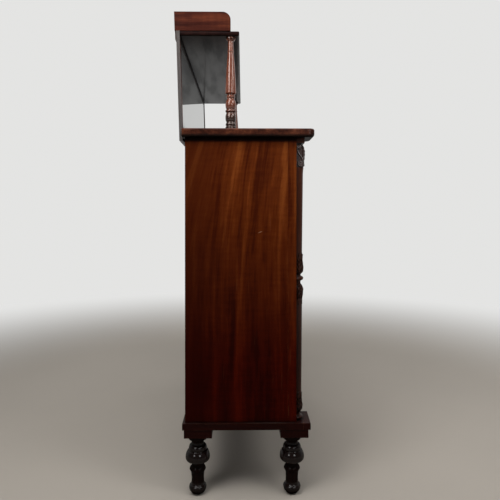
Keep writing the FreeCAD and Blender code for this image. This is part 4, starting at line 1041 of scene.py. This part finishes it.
@dataclass
class HalfColumn(Carving):
    """Carved half column on a stile: base ring, leaf cup, plain shaft, and two leaf cups about a ring."""

    foot_z: float = 236.0
    head_z: float = 1024.0
    ring_z: float = 677.5
    base_height: float = 93.0
    foot_radius: float = 18.8
    waist_radius: float = 20.8
    head_radius: float = 23.4
    flare: tuple[float, float, float] = (25.0, 25.3, -0.4)
    leaves: int = 4
    leaf_radius: float = 21.0
    cut: float = 3.6
    columns: int = 128
    finest: float = 0.75

    def outline(self) -> tuple[Turning, list[Span]]:
        """The column's turned outline.

        Returns:
            The outline, and the foot and tip heights of each row of leaves.
        """
        base = [(2.0, 15.0, 0), (1.5, 20.0, 0), (8.0, 20.0, 2.4), (1.5, 15.5, 0), (10.0, 15.0, -1.4)]
        base += [(25.0, 22.4, 3.2), (24.0, 20.6, -0.6), (15.0, 21.6, -0.6), (1.0, self.foot_radius, 0)]
        base += [(self.base_height - risen(base), self.foot_radius, 0)]
        cup = [(1.0, 22.6, 0), (23.0, 22.0, -0.5), (24.0, 24.8, 0.8), (19.0, 17.0, 3.0), (11.0, 16.6, -0.8)]
        ring = [(2.0, 21.5, 0), (11.0, 21.5, 3.2), (2.0, 16.8, 0)]
        upper = [(6.0, 17.2, -0.5), (18.0, 25.3, 3.0), (12.0, 24.8, 0.5), (18.0, 23.0, -0.3)]
        upper += [(12.0, 24.4, -0.4), (5.0, 24.2, 0.5), (1.0, self.waist_radius, 0)]
        below, above = (risen(part) + risen(ring) / 2 for part in (cup, upper))
        low = self.ring_z - below - self.foot_z - self.base_height
        top = self.head_z - self.ring_z - above - self.flare[0]
        steps = base + [(low, self.waist_radius, 0)] + cup + ring + upper
        steps += [(top, self.head_radius, 0), self.flare]
        rows = [
            (self.foot_z + 22.0, self.foot_z + 89.0),
            (self.ring_z - 9.5, self.ring_z - below + 0.5),
            (self.ring_z + 9.5, self.ring_z + above - 0.5),
        ]
        return Turning(self.foot_z, 15.0, tuple(steps)), rows

    def mesh(self) -> bpy.types.Mesh:
        """The column as one closed carved skin.

        Returns:
            The mesh.
        """
        turning, rows = self.outline()
        z, radius = turning.outline(self.finest)
        angle = np.linspace(0.0, math.pi, self.columns)
        full = np.repeat(radius[:, None], self.columns, axis=1)
        heights = np.repeat(z[:, None], self.columns, axis=1)
        knots = [self.foot_z + self.base_height, self.ring_z, self.head_z]
        shaft = np.interp(z, knots, [self.foot_radius, self.waist_radius, self.head_radius])[:, None]
        pitch = math.pi / self.leaves
        width = pitch * self.leaf_radius
        between, before = ((np.mod(angle + turn, pitch)[None, :] - pitch / 2) * self.leaf_radius
                           for turn in (pitch / 2, 0.0))
        for foot, tip in rows:
            along = (heights - foot) * (1 if tip > foot else -1)
            length = abs(tip - foot)
            inside = (along >= 0) & (along <= length)
            front = Leaf(width * 1.04, length).relief(before, along)
            back = Leaf(width * 0.8, length * 0.97, 3).relief(between, along)
            carved = np.maximum(front, 0.55 * back)
            ground = full - self.cut * np.clip(along / (0.12 * length), 0.0, 1.0)
            ground = np.where(along > 0.72 * length, np.minimum(shaft, full - 1.0), ground)
            full = np.where(inside, ground + (full + 0.3 - ground) * carved, full)
        x = self.hand * (self.axis_x + full * np.cos(angle)[None, :])
        y = self.face_y - full * np.sin(angle)[None, :]
        return ringed_mesh("half_column", np.stack([x, y, heights], axis=-1))

    def build(self, effects: Effects) -> None:
        """Makes and dresses the column, in place of the plain one."""
        piece = self.carved("carved_column", CARVED, effects)
        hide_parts(f"half_column_{self.side}")


@dataclass
class LeafCorbel(Carving):
    """Scrolled corbel over a half column: a hanging leaf on its front and an S scroll on each cheek."""

    foot_z: float = 1024.0
    height: float = 74.0
    half_width: float = 25.0
    spacing: float = 0.75
    cheek_columns: int = 34
    cheek_cut: float = 3.4
    leaf_cut: float = 4.2
    scroll_radius: float = 2.7
    eye_radius: float = 2.2
    tip_z: float = 7.0
    tip_radius: float = 6.5
    foot_fade: float = 5.0
    head_fade: float = 4.0

    def depth(self, z: np.ndarray) -> np.ndarray:
        """How far the corbel stands forward: a rolled tip, a hollow and a belly.

        Args:
            z: heights over its foot, in millimetres.

        Returns:
            The distance forward at each.
        """
        knots = [0.0, 3.0, 7.0, 11.5, 14.5, 22.0, 34.0, 48.0, 60.0, 70.0, 74.0]
        out = [22.5, 26.6, 28.2, 27.4, 26.6, 27.6, 28.6, 29.0, 26.6, 21.6, 18.8]
        even = np.linspace(0, self.height, 200)
        eased = np.interp(even, knots, out)
        for _ in range(14):
            eased[1:-1] = (eased[:-2] + 2 * eased[1:-1] + eased[2:]) / 4
        return np.interp(z, even, eased)

    def scroll(self) -> np.ndarray:
        """The S scroll's middle line on the cheek.

        Returns:
            Its points, as distance forward and height over the foot.
        """
        low, high, high_radius = np.array([12.8, 11.6]), np.array([9.2, 62.0]), 6.8
        t = np.linspace(0, 1, 90)[:, None]
        curls = []
        for middle, radius, turn in (
            (low, 1.2 + 8.0 * t, -3.2 * math.pi * (1 - t)),
            (high, high_radius - 5.6 * t, math.pi - 3.0 * math.pi * t),
        ):
            curls.append(middle + radius * np.concatenate([np.cos(turn), np.sin(turn)], axis=1))
        lower, upper = curls
        start, end = lower[-1], high - (high_radius, 0)
        a, b = start + (0, 24), end - (0, 24)
        sweep = (1 - t) ** 3 * start + 3 * (1 - t) ** 2 * t * a + 3 * (1 - t) * t**2 * b + t**3 * end
        return np.concatenate([lower, sweep, upper])

    def cheek(self, forward: np.ndarray, z: np.ndarray) -> np.ndarray:
        """How far the cheek is cut in at each point.

        Args:
            forward: distance forward, in millimetres.
            z: height over the foot.

        Returns:
            The depths of the cut, in millimetres.
        """
        line = self.scroll()
        gap = np.full(forward.shape, np.inf)
        for u, w in line:
            gap = np.minimum(gap, np.hypot(forward - u, z - w))
        eye = np.minimum(*(np.hypot(forward - u, z - w) for u, w in (line[0], line[-1])))
        eye = np.clip(1.0 - (eye / self.eye_radius) ** 2, 0, 1)
        return self.cheek_cut * (1.0 - np.maximum(dome(gap, self.scroll_radius), eye))

    def mesh(self) -> bpy.types.Mesh:
        """The corbel as one closed carved skin.

        Returns:
            The mesh.
        """
        rows = round(self.height / self.spacing)
        z = np.linspace(0.0, self.height, rows)
        across = np.linspace(-1.0, 1.0, round(2 * self.half_width / self.spacing))
        inward = np.linspace(0.0, 1.0, self.cheek_columns)
        depth = self.depth(z)[:, None]
        x_front = np.repeat(across[None, :] * self.half_width, rows, axis=0)
        z_front = np.repeat(z[:, None], across.size, axis=1)
        leaf = Leaf(2 * self.half_width * 0.98, self.height * 0.99, 5).relief(x_front, self.height - z_front)
        tip = dome(z_front - self.tip_z, self.tip_radius) * (np.abs(across) < 0.5)[None, :]
        leaf = np.maximum(leaf, 0.8 * tip)
        fade = np.clip(z_front / self.foot_fade, 0, 1)
        fade = fade * np.clip((self.height - z_front) / self.head_fade, 0.15, 1)
        ground = depth - self.leaf_cut * fade
        front_y = (ground + (depth + 0.4 - ground) * leaf) * (1.0 - 0.10 * across[None, :] ** 4)
        cheek_y = front_y[:, :1] * inward[None, :]
        cheek_z = np.repeat(z[:, None], inward.size, axis=1)
        cut = self.half_width - self.cheek(cheek_y, cheek_z) * np.clip((1 - inward) * 8, 0, 1)[None, :]
        left = np.stack([-cut, -cheek_y, cheek_z], axis=-1)
        front = np.stack([x_front, -front_y, z_front], axis=-1)[:, 1:-1]
        right = np.stack([cut, -cheek_y, cheek_z], axis=-1)[:, ::-1]
        points = np.concatenate([left, front, right], axis=1)
        points += (self.hand * self.axis_x, self.face_y, self.foot_z)
        return ringed_mesh("corbel", points)

    def build(self, effects: Effects) -> None:
        """Makes and dresses the corbel, in place of the plain one."""
        piece = self.carved("carved_corbel", CORBEL, effects)
        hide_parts(f"corbel_{self.side}")


# ---------------------------------------------------------------- nails, pins and screws
class Head(Enum):
    """The kinds of head, as how many sides each has and how wide its slot is against its radius."""

    NAIL = (4, 0.0)
    PIN = (16, 0.0)
    SCREW = (24, 0.28)


class HeadRig:
    """The node group that sets a head on every point, each turned by its own amount."""

    TAKES = {"Geometry": Kind.SHAPE, "Sides": Kind.WHOLE, **numbers("Radius", "Rise", "Slot width"),
             "Facing": Kind.VECTOR, "Seed": Kind.WHOLE, "Metal": Kind.MATERIAL}
    TILT = 0.03

    def __init__(self) -> None:
        """Builds the group."""
        sheet, given = start_group("Driven heads", self.TAKES, {"Geometry": Kind.SHAPE}, "GeometryNodeTree")
        size = {"Vertices": given["Sides"], "Radius": given["Radius"], "Depth": given["Rise"] * 2.0}
        plain = sheet.value("GeometryNodeMeshCylinder", "Mesh", size)
        size = {"Size": sheet.joined(1.0, given["Slot width"], given["Rise"])}
        bar = sheet.value("GeometryNodeMeshCube", "Mesh", size)
        raised = {"Geometry": bar, "Translation": sheet.joined(z=given["Rise"])}
        bar = sheet.value("GeometryNodeTransform", 0, raised)
        slotted = sheet.value("GeometryNodeMeshBoolean", "Mesh", {0: plain, 1: bar}, operation="DIFFERENCE")
        has_slot = sheet.math("GREATER_THAN", given["Slot width"], 0.0)
        pick = {"Switch": has_slot, "False": plain, "True": slotted}
        head = sheet.value("GeometryNodeSwitch", 0, pick, input_type="GEOMETRY")
        way = sheet.value("FunctionNodeEulerToRotation", 0, {0: given["Facing"]})
        set_out = {"Points": given["Geometry"], "Instance": head, "Rotation": way}
        heads = sheet.value("GeometryNodeInstanceOnPoints", 0, set_out)
        chance = {"Min": (0.0, 0.0, 0.0), "Max": (self.TILT, self.TILT, math.tau), "Seed": given["Seed"]}
        spin = sheet.value("FunctionNodeRandomValue", 0, chance, data_type="FLOAT_VECTOR")
        turn = sheet.value("FunctionNodeEulerToRotation", 0, {0: spin})
        turned = sheet.value("GeometryNodeRotateInstances", 0, {"Instances": heads, "Rotation": turn})
        real = sheet.value("GeometryNodeRealizeInstances", 0, {"Geometry": turned})
        done = sheet.value("GeometryNodeSetMaterial", 0, {"Geometry": real, "Material": given["Metal"]})
        self.tree = sheet.give(Geometry=done)
        inputs = [item for item in self.tree.interface.items_tree if item.in_out == "INPUT"]
        self.keys = {item.name: item.identifier for item in inputs}


@dataclass(frozen=True)
class Fixings:
    """Like heads driven the same way into one body. Sizes and places are in millimetres."""

    name: str
    body: str
    metal: Metal
    head: Head
    radius: float
    rise: float
    facing: Place
    places: list[Place]

    def build(self, rig: HeadRig, effects: Effects) -> None:
        """Sets the heads out and keeps them as one plain mesh.

        Args:
            rig: the group that sets them out.
            effects: the shared shader groups.
        """
        points = bpy.data.meshes.new(self.name + "_points")
        points.from_pydata([tuple(v * MM for v in place) for place in self.places], [], [])
        holder = bpy.data.objects.new(self.name + "_points", points)
        bpy.context.scene.collection.objects.link(holder)
        modifier = holder.modifiers.new("heads", "NODES")
        modifier.node_group = rig.tree
        sides, slot_share = self.head.value
        values = {
            "Sides": sides,
            "Radius": self.radius * MM,
            "Rise": self.rise * MM,
            "Slot width": slot_share * self.radius * MM,
            "Facing": tuple(Vector(self.facing).to_track_quat("Z", "Y").to_euler()),
            "Seed": len(self.name),
            "Metal": self.metal.make(effects, self.name),
        }
        for name, value in values.items():
            modifier[rig.keys[name]] = value
        shown = holder.evaluated_get(bpy.context.evaluated_depsgraph_get())
        mesh = bpy.data.meshes.new_from_object(shown)
        mesh.name = self.name
        bpy.data.objects.remove(holder)
        new_piece(self.name, mesh, self.body)


def grid(xs: Sequence[float], ys: Sequence[float], zs: Sequence[float]) -> list[Place]:
    """Every place with one of each coordinate."""
    return [(x, y, z) for x in xs for y in ys for z in zs]


def fixings() -> list[Fixings]:
    """All the nails, pins and screws.

    Returns:
        The sets, by body and by the way they face.
    """
    forward, backward, down = (0, -1, 0), (0, 1, 0), (0, 0, -1)
    board_count, nail_off, planks_y = 7, 46.0, 181.68
    across = [BOARD_START + BOARD_PITCH * (n + 0.5) + off for n in range(board_count)
              for off in (-nail_off, nail_off)]
    nails = grid(across, [planks_y], [246.0, 624.0, 1105.0])
    head_y, head_z, lean = 208.03, 1429.0, 0.02968  # the mirror's backing leans back as it rises
    brads = [(x, z) for x in range(-460, 461, 115) for z in (1151.0, 1423.0)]
    brads += [(x, z) for x in (-479.0, 479.0) for z in (1200.0, 1287.0, 1374.0)]
    brads = [(x, head_y - (head_z - z) * lean, z) for x, z in brads]
    sets = [
        Fixings("back_board_nails", "carcass", STEEL, Head.NAIL, 2.6, 0.5, backward, nails),
        Fixings("backing_brads", "carcass", STEEL, Head.PIN, 1.5, 0.5, backward, brads),
    ]
    hinge_y, hinge_rows = -145.5, [z + step for z in (327.5, 932.5) for step in (-19.0, 0.0, 19.0)]
    for hand, side in ((-1, "left"), (1, "right")):
        leaves = (("stile", "carcass", 453.0, -hand), ("door", f"door_{side}", 451.5, hand))
        for leaf, body, x, way in leaves:
            places = grid([x * hand], [hinge_y], hinge_rows)
            name = f"hinge_screws_{leaf}_{side}"
            sets.append(Fixings(name, body, BRASS, Head.SCREW, 3.0, 0.15, (way, 0, 0), places))
    return sets + [
        Fixings("lock_screws", "door_right", STEEL, Head.SCREW, 2.6, 0.3, backward,
                grid([6.0, 37.5], [-133.82], [620.5, 671.5])),
        Fixings("bolt_screws", "door_left", BRASS, Head.SCREW, 1.7, 0.3, backward,
                grid([-38.2, -23.3], [-132.62], [951.0, 987.0])),
        Fixings("escutcheon_pins", "door_right", BRASS, Head.PIN, 1.1, 0.35, forward,
                grid([24.75], [-155.02], [633.5, 658.5])),
        Fixings("drawer_bottom_nails", "drawer", STEEL, Head.NAIL, 2.2, 0.5, down,
                grid(range(-390, 391, 130), [141.0], [1032.3])),
    ]


# ---------------------------------------------------------------- studio
class Seen(Enum):
    """What a lamp does, as whether it lights surfaces and whether polish and mirrors show it."""

    BOTH = (True, True)
    LIGHT = (True, False)
    GLINT = (False, True)


@dataclass(frozen=True)
class Lamp:
    """A soft area lamp: where it hangs, the point that it faces and its size, in metres, and its watts."""

    name: str
    place: Place
    aim: Place
    size: Span
    watts: float
    seen: Seen = Seen.BOTH

    def hang(self) -> None:
        """Puts the lamp in the scene."""
        data = bpy.data.lights.new(self.name, "AREA")
        data.shape = "RECTANGLE"
        data.size, data.size_y = self.size
        data.energy = self.watts
        lamp = bpy.data.objects.new(self.name, data)
        lamp.location = self.place
        lamp.visible_camera = False
        lamp.visible_diffuse, lamp.visible_glossy = self.seen.value
        lamp.rotation_euler = (Vector(self.aim) - Vector(self.place)).to_track_quat("-Z", "Y").to_euler()
        bpy.context.scene.collection.objects.link(lamp)


LAMPS = (
    Lamp("window_front", (-1.5, -1.5, 2.45), (-0.4, 0, 1.2), (0.8, 1.0), 18.0),
    Lamp("window_back", (-1.8, 1.2, 2.45), (-0.4, 0, 1.2), (1.0, 1.0), 31.0),
    Lamp("ceiling", (-0.9, 0.2, 3.1), (-0.3, 0, 1.0), (1.5, 1.5), 38.0),
    Lamp("fill_far", (2.5, 0.3, 2.3), (0, 0, 0.8), (1.8, 1.8), 22.0, Seen.LIGHT),
    Lamp("fill_front", (0.9, -2.8, 1.9), (0, 0, 0.9), (2.8, 2.8), 26.0, Seen.LIGHT),
    Lamp("pane_left", (-3.2, 1.9, 2.0), (-0.4, 0, 0.7), (0.8, 0.9), 18.0, Seen.GLINT),
    Lamp("pane_right", (-3.2, -1.3, 1.9), (-0.4, 0, 0.7), (0.8, 0.9), 18.0, Seen.GLINT),
)


@dataclass
class Studio:
    """Floor, daylight, lamps and camera. Lengths are in metres and angles in degrees."""

    wall: Colour = (0.775, 0.775, 0.765)
    floor: Colour = (0.405, 0.368, 0.322)
    floor_reach: float = 9.0
    floor_fade: Span = (1.3, 3.4)
    fill: float = 0.06
    mirrored: Span = (0.25, 0.75)
    eye: Place = (-2.0393, 0.0044, 0.8937)
    yaw: float = 0.856
    pitch: float = 0.201
    focal_pixels: float = 495.4
    drop_pixels: float = 39.1
    picture: int = 500
    sensor: float = 36.0

    def camera(self) -> None:
        """The camera at the object's left end, held level, with its view dropped."""
        data = bpy.data.cameras.new("camera")
        data.sensor_width = self.sensor
        data.lens = self.sensor * self.focal_pixels / self.picture
        data.shift_y = -self.drop_pixels / self.picture
        camera = bpy.data.objects.new("camera", data)
        camera.location = self.eye
        camera.rotation_euler = (math.radians(90 - self.pitch), 0.0, math.radians(-90 - self.yaw))
        bpy.context.scene.collection.objects.link(camera)
        bpy.context.scene.camera = camera

    def world(self) -> None:
        """Pale surroundings to the eye and in reflections, and a soft even fill on the object."""
        world = bpy.data.worlds.new("surroundings")
        bpy.context.scene.world = world
        world.use_nodes = True
        world.node_tree.nodes.clear()
        sheet = Sheet(world.node_tree)
        path = sheet.values("ShaderNodeLightPath")
        sharp = sheet.math("MAXIMUM", path["Is Glossy Ray"], path["Is Transmission Ray"])
        away = sheet.parts(sheet.value("ShaderNodeTexCoord", "Generated"))[0]
        far_side = away.ramp(-0.3, 0.5, *self.mirrored)
        strength = sharp * (far_side - self.fill) + self.fill
        lit, seen = (sheet.value("ShaderNodeBackground", 0, {"Color": self.wall, "Strength": amount})
                     for amount in (strength, 1.0))
        both = sheet.value("ShaderNodeMixShader", 0, {0: path["Is Camera Ray"], 1: lit, 2: seen})
        sheet.add("ShaderNodeOutputWorld", {"Surface": both})

    def floor_plane(self) -> None:
        """A plain pale floor that keeps the object's shadow and melts into the surroundings."""
        mesh = bpy.data.meshes.new("floor")
        reach = self.floor_reach
        corners = [(-reach, -reach, 0), (reach, -reach, 0), (reach, reach, 0), (-reach, reach, 0)]
        mesh.from_pydata(corners, [], [(0, 1, 2, 3)])
        floor = bpy.data.objects.new("floor", mesh)
        bpy.context.scene.collection.objects.link(floor)
        material, sheet, shader = blank("floor")
        raw = sheet.value("ShaderNodeTexCoord", "Object")
        cloud = sheet.noise(raw, 0.9, 3.0).ramp(0.3, 0.7)
        colour = sheet.mix(cloud, self.floor, tuple(c * 1.06 for c in self.floor))
        for name, value in (("Base Color", colour), ("Roughness", 0.6), ("Specular IOR Level", 0.2)):
            sheet.feed(shader.inputs[name], value)
        path = sheet.values("ShaderNodeLightPath")
        looked = sheet.math("MAXIMUM", path["Is Camera Ray"], path["Is Glossy Ray"])
        looked = sheet.math("MAXIMUM", looked, path["Is Transmission Ray"])
        fade = sheet.measure("LENGTH", raw).ramp(*self.floor_fade) * looked
        glow = sheet.value("ShaderNodeEmission", 0, {"Color": self.wall, "Strength": 1.0})
        both = sheet.value("ShaderNodeMixShader", 0, {0: fade, 1: Term(sheet, shader.outputs[0]), 2: glow})
        sheet.feed(material.node_tree.nodes["Material Output"].inputs["Surface"], both)
        mesh.materials.append(material)

    def build(self) -> None:
        """Sets up the whole studio."""
        bpy.context.scene.view_settings.view_transform = "Standard"
        self.camera()
        self.world()
        self.floor_plane()
        for lamp in LAMPS:
            lamp.hang()


def main() -> None:
    """Builds the dress and reports each piece."""
    logging.basicConfig(level=logging.INFO, format="%(name)s: %(message)s")
    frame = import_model()
    effects = Effects()
    Studio().build()
    Joinery(frame["nodes"], effects).dress()
    for hand in (-1, 1):
        HalfColumn(hand).build(effects)
        LeafCorbel(hand).build(effects)
    rig = HeadRig()
    for heads in fixings():
        heads.build(rig, effects)


if __name__ == "__main__":
    main()
